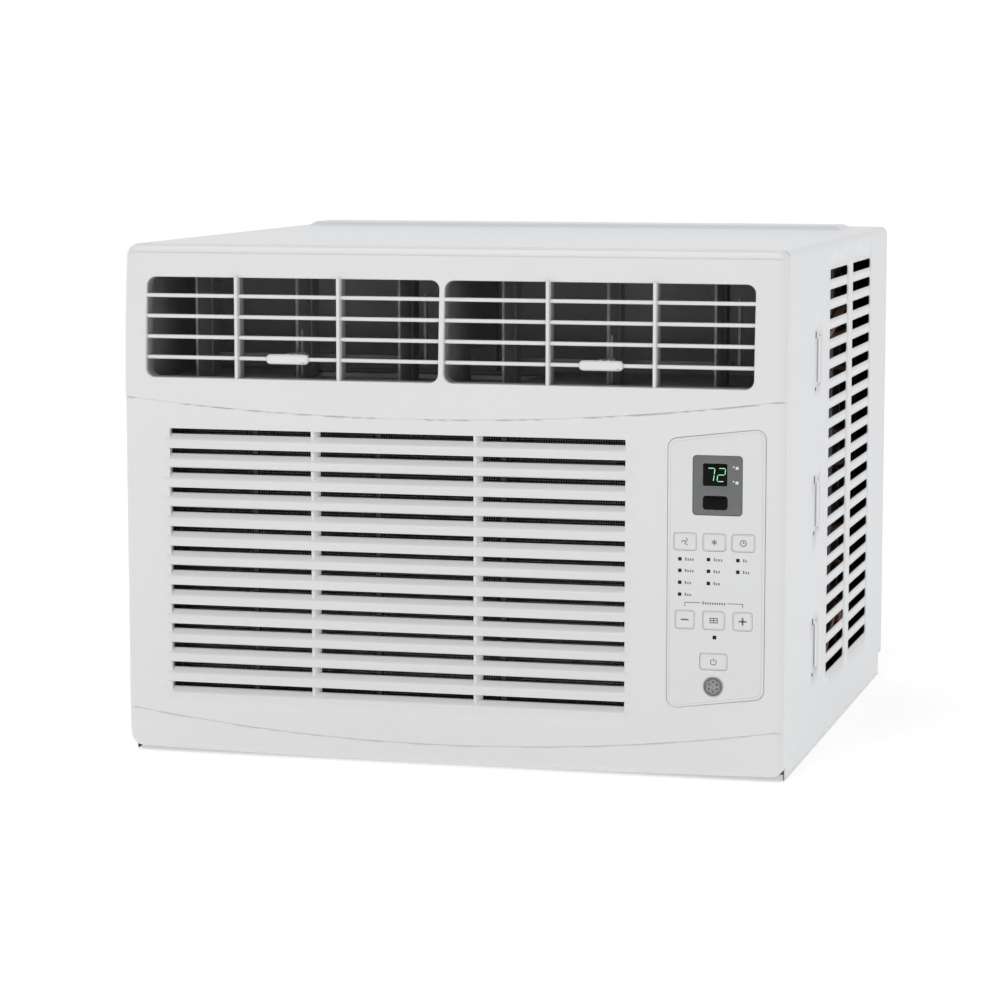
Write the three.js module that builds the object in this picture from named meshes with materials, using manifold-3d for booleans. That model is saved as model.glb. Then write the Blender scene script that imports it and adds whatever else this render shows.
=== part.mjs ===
// Window air conditioner, as an assembly of separate pieces.
// Millimetres. +X is to the right seen from the room, +Y runs to the outdoor end, +Z is up.
// The origin is the centre of the footprint, on the surface that the base pan stands on.

import * as THREE from 'three';
import { mergeVertices } from 'three/addons/utils/BufferGeometryUtils.js';
import Module from 'manifold-3d';

const wasm = await Module();
wasm.setup();

// ---------------------------------------------------------------- driving dimensions
// Overall.
const WIDTH = 457;
const DEPTH = 463;
const CABINET_TOP = 350;
const SHEET = 1.5;                       // steel sheet of the cabinet
const GAP = 0.3;                         // between neighbours that touch
const RUNNING_GAP = 0.4;                 // around pins and shafts
const FAR = 40;                          // overshoot of a cutter past what it cuts
const CORNER_SIDES = 6;                  // a full circle's sides, unless said otherwise

// Front panel.
const PANEL_WALL = 2.5;
const PANEL_DEPTH = 15;                  // flat front face to the cabinet's front edge
const PANEL_BOTTOM = 6.5;
const CREASE_PROUD = 2;                  // how far the crease stands out of the flat face
const CREASE_Z = 238;

const SLOT_COUNT = 14;
const SLOT_PITCH = 13.4;
const SLOT_TOP_Z = 225.5;
const SLOT_HEIGHT = 6.6;
const SLOT_X = [-195.5, 122];
const SLOT_RIB_X = [-93.7, 19.7];

const OUTLET_Z = [260.2, 328];
const OUTLET_CORNER = 6;
const OUTLET_RIB = 2.5;
const LEFT_OUTLET_X = [-211.7, -5.8];
const RIGHT_OUTLET_X = [-2, 207];
const LEFT_BANK_X = -111.5;              // middle vane and tab of each bank
const RIGHT_BANK_X = 104.8;
const BAY = 72;                          // vane to vane, and rib to rib

// Planes across the depth.
const HALF_WIDTH = WIDTH / 2;
const FRONT_Y = -DEPTH / 2;
const REAR_Y = DEPTH / 2;
const FACE_Y = FRONT_Y + CREASE_PROUD;
const CABINET_FRONT_Y = FACE_Y + PANEL_DEPTH;
const PANEL_BACK_Y = CABINET_FRONT_Y - GAP;
const CABINET_HALF = HALF_WIDTH - 1;

// Controls. The control area follows the smile of the panel, so its ends slope.
const CONTROL = { x: [150.5, 215.5], bottom: [48.2, 56.8], top: [227.1, 234.9], corner: 6.5 };
const DISPLAY = { x: [167.2, 200.1], z: [177.5, 216.7], corner: 2.5 };
const BOARD_Y = FACE_Y + 9;
const SWITCH_HEIGHT = 2.4;
const BUTTON_COLUMNS = [162.5, 181.9, 201.1];
const BUTTON_CORNER = 2;
const BUTTON_TRAVEL = 0.8;
const BUTTONS = [
  { name: 'fan_button', column: 0, z: 159.7, width: 15.4, height: 11.7 },
  { name: 'mode_button', column: 1, z: 159.7, width: 15.4, height: 11.7 },
  { name: 'delay_button', column: 2, z: 159.7, width: 15.4, height: 11.7 },
  { name: 'minus_button', column: 0, z: 108, width: 13, height: 12.4 },
  { name: 'filter_button', column: 1, z: 108, width: 14.8, height: 12.4 },
  { name: 'plus_button', column: 2, z: 108, width: 13, height: 12.4 },
  { name: 'power_button', column: 1, z: 80.6, width: 18.4, height: 11.2 },
];

// Outlet blades, vanes and duct.
const BLADE_COUNT = 4;
const BLADE_PITCH = 13.97;
const LOWEST_BLADE_Z = 273.7;
const BLADE_CHORD = 12;
const BLADE_PLATE = 1.6;
const BLADE_ROD = 1.3;
const BLADE_Y = FACE_Y + 4;
const BLADE_LINK_X = 12;                 // in from the bank's right-hand end
const BLADE_LINK_ARM = 9.5;              // blade rod to the link's pins
const TAB_HALF = 15.2;
const VANE_PIN_Y = FACE_Y + 24;
const VANE_ARM = 29.2;                   // vane pivot to the pin that the tab's fork moves
const VANE_PIVOT_Y = VANE_PIN_Y + VANE_ARM;
const VANE_LINK_Y = VANE_PIVOT_Y + 13;
const VANE_LINK_Z = 271.5;
const DUCT_INSIDE_Z = [257, 331];
const DUCT_REAR_Y = -78;

// Air filter, indoor coil, blower and its scroll.
const FILTER = { x: [-HALF_WIDTH + 0.3, 130], y: [FACE_Y + 6, FACE_Y + 10], z: [38, 236] };
const SHAFT_X = -40;                     // fan axis
const SHAFT_Z = 150;
const SHAFT_RADIUS = 4;
const BLOWER_RADIUS = 75;
const BLOWER_BLADES = 16;
const SCROLL_Y = [-158, -84];
const SCROLL_TOP = 251.5;
const SCROLL_CLEARANCE = 7;              // wheel to the scroll's tongue side
const SCROLL_GROWTH = 11;                // extra radius gained on the way round
const SCROLL_NECK_X = [
  SHAFT_X - BLOWER_RADIUS - SCROLL_CLEARANCE - SCROLL_GROWTH,
  SHAFT_X + BLOWER_RADIUS,
];
const COIL_END_PLATE = 6;
const COIL_GROOVE_DEPTH = 2.5;
const COIL_GROOVE_SHARE = 0.6;           // of the fin pitch

// Motor, outdoor fan and coil, refrigerant circuit.
const MOTOR_Y = [-42, 40];
const FAN_RADIUS = 112;
const FAN_BLADES = 5;
const COIL_Y = [170, 209];
const COMPRESSOR = { x: 150, y: 20, radius: 52 };
const GROMMET_TOP = 15;
const ACCUMULATOR = { x: 86, y: -22, radius: 18, z: [60, 196] };

// Base pan and cabinet.
const PAN_FLOOR_Z = 3;
const PAN_RIM_Z = 24;
const NOTCH_Y = 216.5;                   // the sides' lower edge stops short of the rear here
const NOTCH_Z = 16.5;
const RISE = { x: [-200, 204], y: [155.5, 202], height: 3, slope: 6 };
const SIDE_SLOT_ROWS = 21;
const SIDE_SLOT_PITCH = 13.9;
const SIDE_SLOT_TOP_Z = 329.8;
const SIDE_SLOT_HEIGHT = 7;
const SIDE_SLOT_COLUMNS = [[-47.5, 32.5], [57.5, 143.5]];
const STRAP_Y = [-108.5, -90.5];
const STRAP_LENGTH = 38.6;
const STRAP_TOPS = [289.7, 190.4, 91.8];
const GLAND = { y: -180, z: 42, radius: 8.5 };

// ---------------------------------------------------------------- solids
function solidOf(geometry) {
  const bare = geometry.clone();
  bare.deleteAttribute('normal');
  bare.deleteAttribute('uv');
  const merged = mergeVertices(bare, 1e-4);
  return new wasm.Manifold(new wasm.Mesh({
    numProp: 3,
    vertProperties: merged.attributes.position.array,
    triVerts: new Uint32Array(merged.index.array),
  }));
}

function geometryOf(solid) {
  const mesh = solid.getMesh();
  const geometry = new THREE.BufferGeometry();
  geometry.setAttribute('position', new THREE.BufferAttribute(mesh.vertProperties, 3));
  geometry.setIndex(new THREE.BufferAttribute(mesh.triVerts, 1));
  geometry.computeVertexNormals();
  return geometry;
}

function unite(...solids) {
  return wasm.Manifold.union(solids.flat());
}

function box([x0, x1], [y0, y1], [z0, z1]) {
  const geometry = new THREE.BoxGeometry(x1 - x0, y1 - y0, z1 - z0);
  geometry.translate((x0 + x1) / 2, (y0 + y1) / 2, (z0 + z1) / 2);
  return solidOf(geometry);
}

// A closed outline through its corner points, each corner rounded off.
function outline(points, radius = 0) {
  const shape = new THREE.Shape();
  const corners = points.map(([x, y]) => new THREE.Vector2(x, y));
  corners.forEach((corner, i) => {
    const before = corners[(i + corners.length - 1) % corners.length];
    const after = corners[(i + 1) % corners.length];
    const start = corner.clone().add(before.clone().sub(corner).setLength(radius));
    const end = corner.clone().add(after.clone().sub(corner).setLength(radius));
    if (i === 0) shape.moveTo(start.x, start.y);
    else shape.lineTo(start.x, start.y);
    if (radius > 0) shape.quadraticCurveTo(corner.x, corner.y, end.x, end.y);
  });
  shape.closePath();
  return shape;
}

function rectangle([a0, a1], [b0, b1], radius = 0) {
  return outline([[a0, b0], [a1, b0], [a1, b1], [a0, b1]], radius);
}

function disc(a, b, radius) {
  const shape = new THREE.Shape();
  shape.absarc(a, b, radius, 0, 2 * Math.PI);
  return shape;
}

function extrude(shape, length, sides) {
  return new THREE.ExtrudeGeometry(shape, { depth: length, bevelEnabled: false, curveSegments: sides / 2 });
}

// The shape's own axes are Y and Z.
function alongX(shape, [x0, x1], sides = CORNER_SIDES) {
  const geometry = extrude(shape, x1 - x0, sides);
  const turn = new THREE.Matrix4().makeBasis(
    new THREE.Vector3(0, 1, 0), new THREE.Vector3(0, 0, 1), new THREE.Vector3(1, 0, 0));
  return solidOf(geometry.applyMatrix4(turn).translate(x0, 0, 0));
}

// The shape's own axes are X and Z.
function alongY(shape, [y0, y1], sides = CORNER_SIDES) {
  return solidOf(extrude(shape, y1 - y0, sides).rotateX(Math.PI / 2).translate(0, y1, 0));
}

// The shape's own axes are X and Y.
function alongZ(shape, [z0, z1], sides = CORNER_SIDES) {
  return solidOf(extrude(shape, z1 - z0, sides).translate(0, 0, z0));
}

function turned(profile, sides) {
  const points = profile.map(([radius, height]) => new THREE.Vector2(radius, height));
  return new THREE.LatheGeometry(points, sides);
}

// A profile of [radius, height] pairs turned about a vertical line.
function turnedUpright(profile, x, y, sides = 20) {
  return solidOf(turned(profile, sides).rotateX(Math.PI / 2).translate(x, y, 0));
}

// A profile of [radius, depth] pairs turned about a line that runs towards +Y.
function turnedAlongY(profile, x, z, sides = 20) {
  return solidOf(turned(profile, sides).translate(x, 0, z));
}

function tube(points, radius, steps, sides = 8) {
  const route = points.map((point) => new THREE.Vector3(...point));
  const extrudePath = new THREE.CatmullRomCurve3(route, false, 'centripetal');
  const options = { steps, extrudePath, curveSegments: sides / 2 };
  return solidOf(new THREE.ExtrudeGeometry(disc(0, 0, radius), options));
}

function grown([low, high], amount) {
  return [low - amount, high + amount];
}

function about(middle, reach) {
  return [middle - reach, middle + reach];
}

function repeated(count, make) {
  return Array.from({ length: count }, (_, i) => make(i));
}

// ---------------------------------------------------------------- materials
function finish(color, roughness, metalness = 0) {
  return new THREE.MeshStandardMaterial({ color, roughness, metalness });
}

const whitePlastic = finish(0xe9eaeb, 0.35);
const whitePaint = finish(0xdcdfe2, 0.45);
const darkPlastic = finish(0x2e3134, 0.6);
const grayPlastic = finish(0x6b6f72, 0.5);
const blackLens = finish(0x141617, 0.15);
const circuitGreen = finish(0x1f5a34, 0.5);
const filterMesh = finish(0x3c4043, 0.8);
const finAluminium = finish(0xb9bdc0, 0.4, 0.9);
const galvanised = finish(0x9fa4a8, 0.45, 0.8);
const blackEnamel = finish(0x17181a, 0.4, 0.3);
const copper = finish(0xb4693d, 0.35, 0.9);
const rubber = finish(0x1b1b1c, 0.85);
const foamWhite = finish(0xe4e4e0, 0.8);
const shaftSteel = finish(0x8d9195, 0.3, 1);

const unit = new THREE.Group();

function place(name, solid, material, position = [0, 0, 0]) {
  const mesh = new THREE.Mesh(geometryOf(solid), material);
  mesh.name = name;
  mesh.position.set(...position);
  unit.add(mesh);
}

// ---------------------------------------------------------------- front panel
function panelOuter() {
  const side = outline([
    [PANEL_BACK_Y, PANEL_BOTTOM], [FACE_Y + 2, PANEL_BOTTOM], [FACE_Y, PANEL_BOTTOM + 16],
    [FACE_Y, CREASE_Z - 3], [FRONT_Y, CREASE_Z], [FACE_Y + 5.5, CABINET_TOP - 6.5],
    [FACE_Y + 13, CABINET_TOP], [PANEL_BACK_Y, CABINET_TOP],
  ]);
  return alongX(side, [-HALF_WIDTH, HALF_WIDTH]);
}

function panelHollow() {
  const inside = FACE_Y + PANEL_WALL;
  const side = outline([
    [PANEL_BACK_Y + FAR, PANEL_BOTTOM + PANEL_WALL], [inside + 2, PANEL_BOTTOM + PANEL_WALL],
    [inside, PANEL_BOTTOM + 16], [inside, CREASE_Z], [FACE_Y + 8.5, CABINET_TOP - 9],
    [FACE_Y + 13, CABINET_TOP - PANEL_WALL], [PANEL_BACK_Y + FAR, CABINET_TOP - PANEL_WALL],
  ]);
  return alongX(side, grown([-HALF_WIDTH, HALF_WIDTH], -PANEL_WALL));
}

// The walls around both outlet openings, and the ribs that carry the blades.
function outletWalls() {
  const depth = [FRONT_Y, FACE_Y + 14];
  const wall = 2;
  const collars = [LEFT_OUTLET_X, RIGHT_OUTLET_X].map((x) => {
    const outside = rectangle(grown(x, wall), grown(OUTLET_Z, wall), OUTLET_CORNER + wall);
    const inside = rectangle(x, OUTLET_Z, OUTLET_CORNER);
    return alongY(outside, depth).subtract(alongY(inside, grown(depth, 1)));
  });
  const ribPlaces = [LEFT_BANK_X, RIGHT_BANK_X].flatMap((middle) => about(middle, BAY / 2));
  const ribs = ribPlaces.map((x) => box(about(x, OUTLET_RIB / 2), depth, OUTLET_Z));
  return unite(collars, ribs);
}

function outletOpenings() {
  return unite([LEFT_OUTLET_X, RIGHT_OUTLET_X].map((x) => (
    alongY(rectangle(x, OUTLET_Z, OUTLET_CORNER), [FRONT_Y - 1, FACE_Y + 16]))));
}

function bladeRodHoles() {
  const hole = disc(BLADE_Y, 0, BLADE_ROD + RUNNING_GAP + 0.1);
  const rows = [LEFT_OUTLET_X, RIGHT_OUTLET_X].map((x) => alongX(hole, grown(x, 1.7), 8));
  return unite(rows.flatMap((row) => (
    repeated(BLADE_COUNT, (i) => row.translate(0, 0, LOWEST_BLADE_Z + i * BLADE_PITCH)))));
}

// One louvre below each intake slot: its lower edge stands out, its top slopes back into the slot.
function intakeLouvres() {
  const lower = GAP - SLOT_PITCH;
  const louvre = outline([
    [FACE_Y + 1, -6], [FACE_Y - 1, -SLOT_HEIGHT], [FACE_Y - 2, lower], [FACE_Y + 1, lower],
  ]);
  const first = alongX(louvre, [SLOT_X[0] - 8, SLOT_X[1] + 3]);
  return repeated(SLOT_COUNT, (i) => first.translate(0, 0, SLOT_TOP_Z - i * SLOT_PITCH));
}

function intakeSlots() {
  const front = FACE_Y - 2.5;
  const back = FACE_Y + 3.5;
  const slot = outline([[front, 0], [front, -SLOT_HEIGHT], [back, -3.2], [back, 0]]);
  const first = alongX(slot, SLOT_X);
  return repeated(SLOT_COUNT, (i) => first.translate(0, 0, SLOT_TOP_Z - i * SLOT_PITCH));
}

function intakeRibs() {
  const height = [SLOT_TOP_Z - SLOT_COUNT * SLOT_PITCH, SLOT_TOP_Z + 4];
  return SLOT_RIB_X.map((x) => box(about(x, 1.7), [FACE_Y + 1.5, FACE_Y + 5], height));
}

function filterRails() {
  const railDepth = [FACE_Y + 1, FACE_Y + 13];
  const length = [-HALF_WIDTH + 1, FILTER.x[1] + 4];
  const below = box(length, railDepth, [FILTER.z[0] - 3, FILTER.z[0] - GAP]);
  const above = box(length, railDepth, [FILTER.z[1] + GAP, FILTER.z[1] + 3]);
  return unite(below, above);
}

// The filter slides out through the panel's left-hand wall.
function filterMouth() {
  const wall = about(-HALF_WIDTH, PANEL_WALL + 1);
  return box(wall, grown([FILTER.y[0], PANEL_BACK_Y + 1], GAP), grown(FILTER.z, GAP));
}

function controlOutline(margin) {
  const [left, right] = grown(CONTROL.x, margin);
  return outline([
    [left, CONTROL.bottom[0] - margin], [right, CONTROL.bottom[1] - margin],
    [right, CONTROL.top[1] + margin], [left, CONTROL.top[0] + margin],
  ], CONTROL.corner + margin);
}

function frontPanel() {
  const outer = panelOuter();
  const shell = outer.subtract(panelHollow());
  const walls = outletWalls().intersect(outer);
  const solid = unite(shell, walls, filterRails(), intakeRibs(), intakeLouvres());
  const outlets = outletOpenings().subtract(outletWalls());
  const controls = alongY(controlOutline(0.4), [FRONT_Y, FACE_Y + 4]);
  return solid.subtract(unite(outlets, bladeRodHoles(), intakeSlots(), filterMouth(), controls));
}

// ---------------------------------------------------------------- controls
function buttonFace({ column, z, width, height }, margin) {
  const across = about(BUTTON_COLUMNS[column], width / 2 + margin);
  return rectangle(across, about(z, height / 2 + margin), BUTTON_CORNER);
}

function button(spec) {
  const cap = alongY(buttonFace(spec, 0), [FACE_Y - 0.5, FACE_Y + 3]);
  const stemEnd = BOARD_Y - SWITCH_HEIGHT - BUTTON_TRAVEL - 0.2;
  const stem = alongY(disc(BUTTON_COLUMNS[spec.column], spec.z, 1.8), [FACE_Y + 2.5, stemEnd], 8);
  return unite(cap, stem);
}

function controlFascia() {
  const plate = alongY(controlOutline(0), [FACE_Y - 0.4, FACE_Y + 2.1]);
  const holes = BUTTONS.map((spec) => alongY(buttonFace(spec, 0.35), [FACE_Y - 1, FACE_Y + 4]));
  const window = alongY(rectangle(DISPLAY.x, DISPLAY.z, DISPLAY.corner), [FACE_Y - 1, FACE_Y + 4]);
  const postDepth = [FACE_Y + 1, BOARD_Y - GAP];
  const posts = [155, 211].flatMap((x) => (
    [64, 221].map((z) => box(about(x, 2), postDepth, about(z, 2)))));
  return unite(plate, posts).subtract(unite(holes, window));
}

function displayWindow() {
  const face = rectangle(grown(DISPLAY.x, -GAP), grown(DISPLAY.z, -GAP), DISPLAY.corner);
  return alongY(face, [FACE_Y, FACE_Y + 6]);
}

function controlBoard() {
  const board = box([152, 214], [BOARD_Y, BOARD_Y + 1.6], [49, 228]);
  const switches = BUTTONS.map(({ column, z }) => {
    const depth = [BOARD_Y - SWITCH_HEIGHT, BOARD_Y + 1];
    return box(about(BUTTON_COLUMNS[column], 3), depth, about(z, 3));
  });
  return unite(board, switches);
}

function controlBox() {
  const wall = 1.5;
  const x = [148, 222];
  const y = [PANEL_BACK_Y + 1, -144];
  const z = [36, 240];
  const outer = box(x, y, z);
  const inner = box(grown(x, -wall), [y[0] - 1, y[1] - wall], grown(z, -wall));
  return outer.subtract(inner);
}

function runCapacitor() {
  const base = 38;
  const radius = 17;
  const height = 70;
  return turnedUpright([
    [0, base], [radius, base], [radius, base + height - 4], [radius - 3, base + height], [0, base + height],
  ], 186, -172);
}

// ---------------------------------------------------------------- outlet: blades, tabs and vanes
// A blade, drawn about its rod: a plate in each bay, clear of the ribs, on one rod.
function blade(outlet, middle) {
  const half = BLADE_PLATE / 2;
  const section = outline([
    [-BLADE_ROD, -1], [BLADE_ROD, -half - 0.3], [BLADE_CHORD, -half],
    [BLADE_CHORD, half], [BLADE_ROD, half + 0.3], [-BLADE_ROD, 1],
  ]);
  const clear = 0.8;
  const ribClear = OUTLET_RIB / 2 + clear;
  const ribs = about(middle, BAY / 2);
  const bays = [
    [outlet[0] + clear, ribs[0] - ribClear],
    [ribs[0] + ribClear, ribs[1] - ribClear],
    [ribs[1] + ribClear, outlet[1] - clear],
  ];
  const plates = bays.map((bay) => alongX(section, bay));
  const rod = alongX(disc(0, 0, BLADE_ROD), grown(outlet, 1.4), 8);
  const linkX = outlet[1] - BLADE_LINK_X;
  const notch = box(about(linkX, 1.8), [BLADE_LINK_ARM - 3.4, FAR], [-3, 3]);
  const pin = alongX(disc(BLADE_LINK_ARM, 0, 0.7), about(linkX, 2.2), 8);
  return unite(unite(rod, plates).subtract(notch), pin);
}

function bladeLink(outlet) {
  const linkX = outlet[1] - BLADE_LINK_X;
  const height = (BLADE_COUNT - 1) * BLADE_PITCH;
  const face = rectangle(about(BLADE_LINK_ARM, 2), grown([0, height], 3), 1);
  const bar = alongX(face, about(linkX, 0.9), 2);
  const holes = repeated(BLADE_COUNT, (i) => (
    alongX(disc(BLADE_LINK_ARM, i * BLADE_PITCH, 1.05), about(linkX, 3), 8)));
  return bar.subtract(unite(holes));
}

// A tab clips round the lowest blade's front edge, and its fork reaches back to the middle vane.
function tab() {
  const length = about(0, TAB_HALF);
  const body = alongX(rectangle([-4, 8], about(0, 3.35), 2), length, 3);
  const throat = unite(
    alongX(disc(0, 0, BLADE_ROD + RUNNING_GAP), grown(length, 1), 12),
    box(grown(length, 1), [0, FAR], about(0, BLADE_PLATE / 2 + 0.65)),
  );
  const reach = [6, VANE_PIN_Y - BLADE_Y + 7];
  const prongs = [[-3.4, -1.9], [1.9, 3.4]].map((x) => box(x, reach, [1.5, 3.2]));
  return unite(body.subtract(throat), prongs);
}

// A vane, drawn about its pivot. Only the middle one has the pin that the tab's fork moves.
function vane(hasForkPin) {
  const half = 0.8;
  const front = VANE_PIN_Y - VANE_PIVOT_Y;
  const rear = VANE_LINK_Y - VANE_PIVOT_Y + 3.5;
  const linkY = VANE_LINK_Y - VANE_PIVOT_Y;
  const height = grown(DUCT_INSIDE_Z, -0.6);
  const pivots = alongZ(disc(0, 0, 1.5), grown(DUCT_INSIDE_Z, 1.6), 10);
  const plate = box(about(0, half), [front, rear], height);
  const linkSlot = box([-3, 3], [linkY - 5, rear + 1], about(VANE_LINK_Z, 2.4));
  const linkPin = alongZ(disc(0, linkY, 0.9), about(VANE_LINK_Z, 3), 8);
  if (!hasForkPin) return unite(unite(plate, pivots).subtract(linkSlot), linkPin);
  const forkWindow = box([-3, 3], [front - 2, front + 10], [260, 292]);
  const forkPin = alongZ(disc(0, front, 1.2), height, 8);
  return unite(unite(plate, pivots).subtract(unite(linkSlot, forkWindow)), linkPin, forkPin);
}

function vaneLink() {
  const bar = box(grown([-BAY, BAY], 4), [-2.3, 2.3], [-1.5, 1.5]);
  const holes = [-BAY, 0, BAY].map((x) => alongZ(disc(x, 0, 1.3), [-3, 3], 8));
  return bar.subtract(unite(holes));
}

function outletDuct() {
  const wall = 2;
  const y = [PANEL_BACK_Y + 1, DUCT_REAR_Y];
  const outer = box([LEFT_OUTLET_X[0] - 4, RIGHT_OUTLET_X[1] + 4], y, grown(DUCT_INSIDE_Z, wall));
  const depth = [y[0] - 1, y[1] - wall];
  const left = box([LEFT_OUTLET_X[0] - 2, LEFT_OUTLET_X[1] + 1], depth, DUCT_INSIDE_Z);
  const right = box([RIGHT_OUTLET_X[0] - 1, RIGHT_OUTLET_X[1] + 2], depth, DUCT_INSIDE_Z);
  const floor = DUCT_INSIDE_Z[0];
  const throat = box(SCROLL_NECK_X, grown(SCROLL_Y, -2.5), [floor - 5, floor + 20]);
  const pivots = [LEFT_BANK_X, RIGHT_BANK_X].flatMap((middle) => [middle - BAY, middle, middle + BAY]);
  const pivotHoles = pivots.map((x) => (
    alongZ(disc(x, VANE_PIVOT_Y, 1.9), grown(DUCT_INSIDE_Z, 4), 10)));
  return outer.subtract(unite(left, right, throat, pivotHoles));
}

function addBank(side, outlet, middle) {
  const bladeSolid = blade(outlet, middle);
  for (let i = 0; i < BLADE_COUNT; i++) {
    const height = LOWEST_BLADE_Z + i * BLADE_PITCH;
    place(`${side}_blade_${i + 1}`, bladeSolid, whitePlastic, [0, BLADE_Y, height]);
  }
  place(`${side}_blade_link`, bladeLink(outlet), darkPlastic, [0, BLADE_Y, LOWEST_BLADE_Z]);
  place(`${side}_tab`, tab(), whitePlastic, [middle, BLADE_Y, LOWEST_BLADE_Z]);
  for (let i = -1; i <= 1; i++) {
    place(`${side}_vane_${i + 2}`, vane(i === 0), darkPlastic, [middle + i * BAY, VANE_PIVOT_Y, 0]);
  }
  place(`${side}_vane_link`, vaneLink(), grayPlastic, [middle, VANE_LINK_Y, VANE_LINK_Z]);
}

// ---------------------------------------------------------------- indoor side
function airFilter() {
  const rim = 7;
  const frame = box(FILTER.x, FILTER.y, FILTER.z);
  const columns = 4;
  const rows = 2;
  const inner = { x: grown(FILTER.x, -rim), z: grown(FILTER.z, -rim) };
  const bar = 4;
  const cellWidth = (inner.x[1] - inner.x[0] - bar * (columns - 1)) / columns;
  const cellHeight = (inner.z[1] - inner.z[0] - bar * (rows - 1)) / rows;
  const windows = [];
  for (let i = 0; i < columns; i++) {
    for (let j = 0; j < rows; j++) {
      const x = inner.x[0] + i * (cellWidth + bar);
      const z = inner.z[0] + j * (cellHeight + bar);
      windows.push(box([x, x + cellWidth], [FILTER.y[0] + 1, FILTER.y[1] + 1], [z, z + cellHeight]));
    }
  }
  return frame.subtract(unite(windows));
}

// A finned block: grooves in both faces stand for the gaps between its upright fins.
function finnedBlock(x, y, z, finPitch) {
  const block = box(x, y, z);
  const grooves = [];
  for (let left = x[0] + COIL_END_PLATE; left + finPitch < x[1] - 1; left += finPitch) {
    const across = [left, left + finPitch * COIL_GROOVE_SHARE];
    grooves.push(box(across, [y[0] - 1, y[0] + COIL_GROOVE_DEPTH], grown(z, -3)));
    grooves.push(box(across, [y[1] - COIL_GROOVE_DEPTH, y[1] + 1], grown(z, -3)));
  }
  return block.subtract(unite(grooves));
}

function evaporatorCoil() {
  return finnedBlock([-205, 128], [-202, -168], [34, 246], 24);
}

// The spiral widens from the tongue on the right, under the wheel, to the upright left side.
function scrollOutline(margin) {
  const steps = 20;
  const shape = new THREE.Shape();
  shape.moveTo(SCROLL_NECK_X[1] + margin, SCROLL_TOP + margin);
  for (let i = 0; i <= steps; i++) {
    const angle = (-Math.PI * i) / steps;
    const radius = BLOWER_RADIUS + SCROLL_CLEARANCE + margin + (SCROLL_GROWTH * i) / steps;
    shape.lineTo(SHAFT_X + radius * Math.cos(angle), SHAFT_Z + radius * Math.sin(angle));
  }
  shape.lineTo(SCROLL_NECK_X[0] - margin, SCROLL_TOP + margin);
  shape.closePath();
  return shape;
}

function blowerScroll() {
  const wall = 2.5;
  const outer = alongY(scrollOutline(wall), SCROLL_Y);
  const inner = alongY(scrollOutline(0), grown(SCROLL_Y, -wall));
  const mouth = box(SCROLL_NECK_X, grown(SCROLL_Y, -wall), [SCROLL_TOP - 10, SCROLL_TOP + 10]);
  const inlet = alongY(disc(SHAFT_X, SHAFT_Z, 60), [SCROLL_Y[0] - 1, SCROLL_Y[0] + wall + 1], 24);
  const shaftHole = alongY(disc(SHAFT_X, SHAFT_Z, 12), [SCROLL_Y[1] - wall - 1, SCROLL_Y[1] + 1], 12);
  return outer.subtract(unite(inner, mouth, inlet, shaftHole));
}

function blowerWheel() {
  const [front, rear] = [SCROLL_Y[0] + 8, SCROLL_Y[1] - 9];
  const bore = SHAFT_RADIUS + GAP;
  const rim = BLOWER_RADIUS - 8;
  const back = turnedAlongY([
    [bore, rear - 14], [11, rear - 14], [14, rear - 2], [BLOWER_RADIUS, rear - 2],
    [BLOWER_RADIUS, rear], [bore, rear], [bore, rear - 14],
  ], 0, 0, 24);
  const ring = turnedAlongY([
    [rim, front], [BLOWER_RADIUS, front], [BLOWER_RADIUS, front + 2.5], [rim, front + 2.5], [rim, front],
  ], 0, 0, 24);
  const first = box([BLOWER_RADIUS - 12, BLOWER_RADIUS - 1], [front + 1, rear - 1], [-0.8, 0.8]);
  const blades = repeated(BLOWER_BLADES, (i) => first.rotate([0, (360 * i) / BLOWER_BLADES, 0]));
  return unite(back, ring, blades);
}

// ---------------------------------------------------------------- motor and outdoor fan
function fanMotor() {
  const bore = SHAFT_RADIUS + RUNNING_GAP;
  const [front, rear] = MOTOR_Y;
  return turnedAlongY([
    [bore, front - 8], [14, front - 8], [14, front], [44, front], [50, front + 8],
    [50, rear - 8], [44, rear], [14, rear], [14, rear + 6], [bore, rear + 6], [bore, front - 8],
  ], SHAFT_X, SHAFT_Z, 18);
}

function motorBracket() {
  const plateY = [MOTOR_Y[1] + GAP, MOTOR_Y[1] + 2.3];
  const [left, right] = about(SHAFT_X, 38);
  const top = SHAFT_Z + 45;
  const face = outline([[SHAFT_X - 80, 4], [SHAFT_X + 80, 4], [right, top], [left, top]], 5);
  const plate = alongY(face, plateY);
  const footZ = [PAN_FLOOR_Z + GAP, PAN_FLOOR_Z + 2.3];
  const foot = box(about(SHAFT_X, 74), [plateY[0], plateY[1] + 22], footZ);
  const boss = alongY(disc(SHAFT_X, SHAFT_Z, 14.5), grown(plateY, 1), 16);
  const lightening = about(SHAFT_X, 30).map((x) => (
    alongY(rectangle(about(x, 18), [30, 88], 5), grown(plateY, 1))));
  return unite(plate, foot).subtract(unite(boss, lightening));
}

function motorShaft() {
  return alongY(disc(SHAFT_X, SHAFT_Z, SHAFT_RADIUS), [SCROLL_Y[0] + 30, 116], 16);
}

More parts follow.
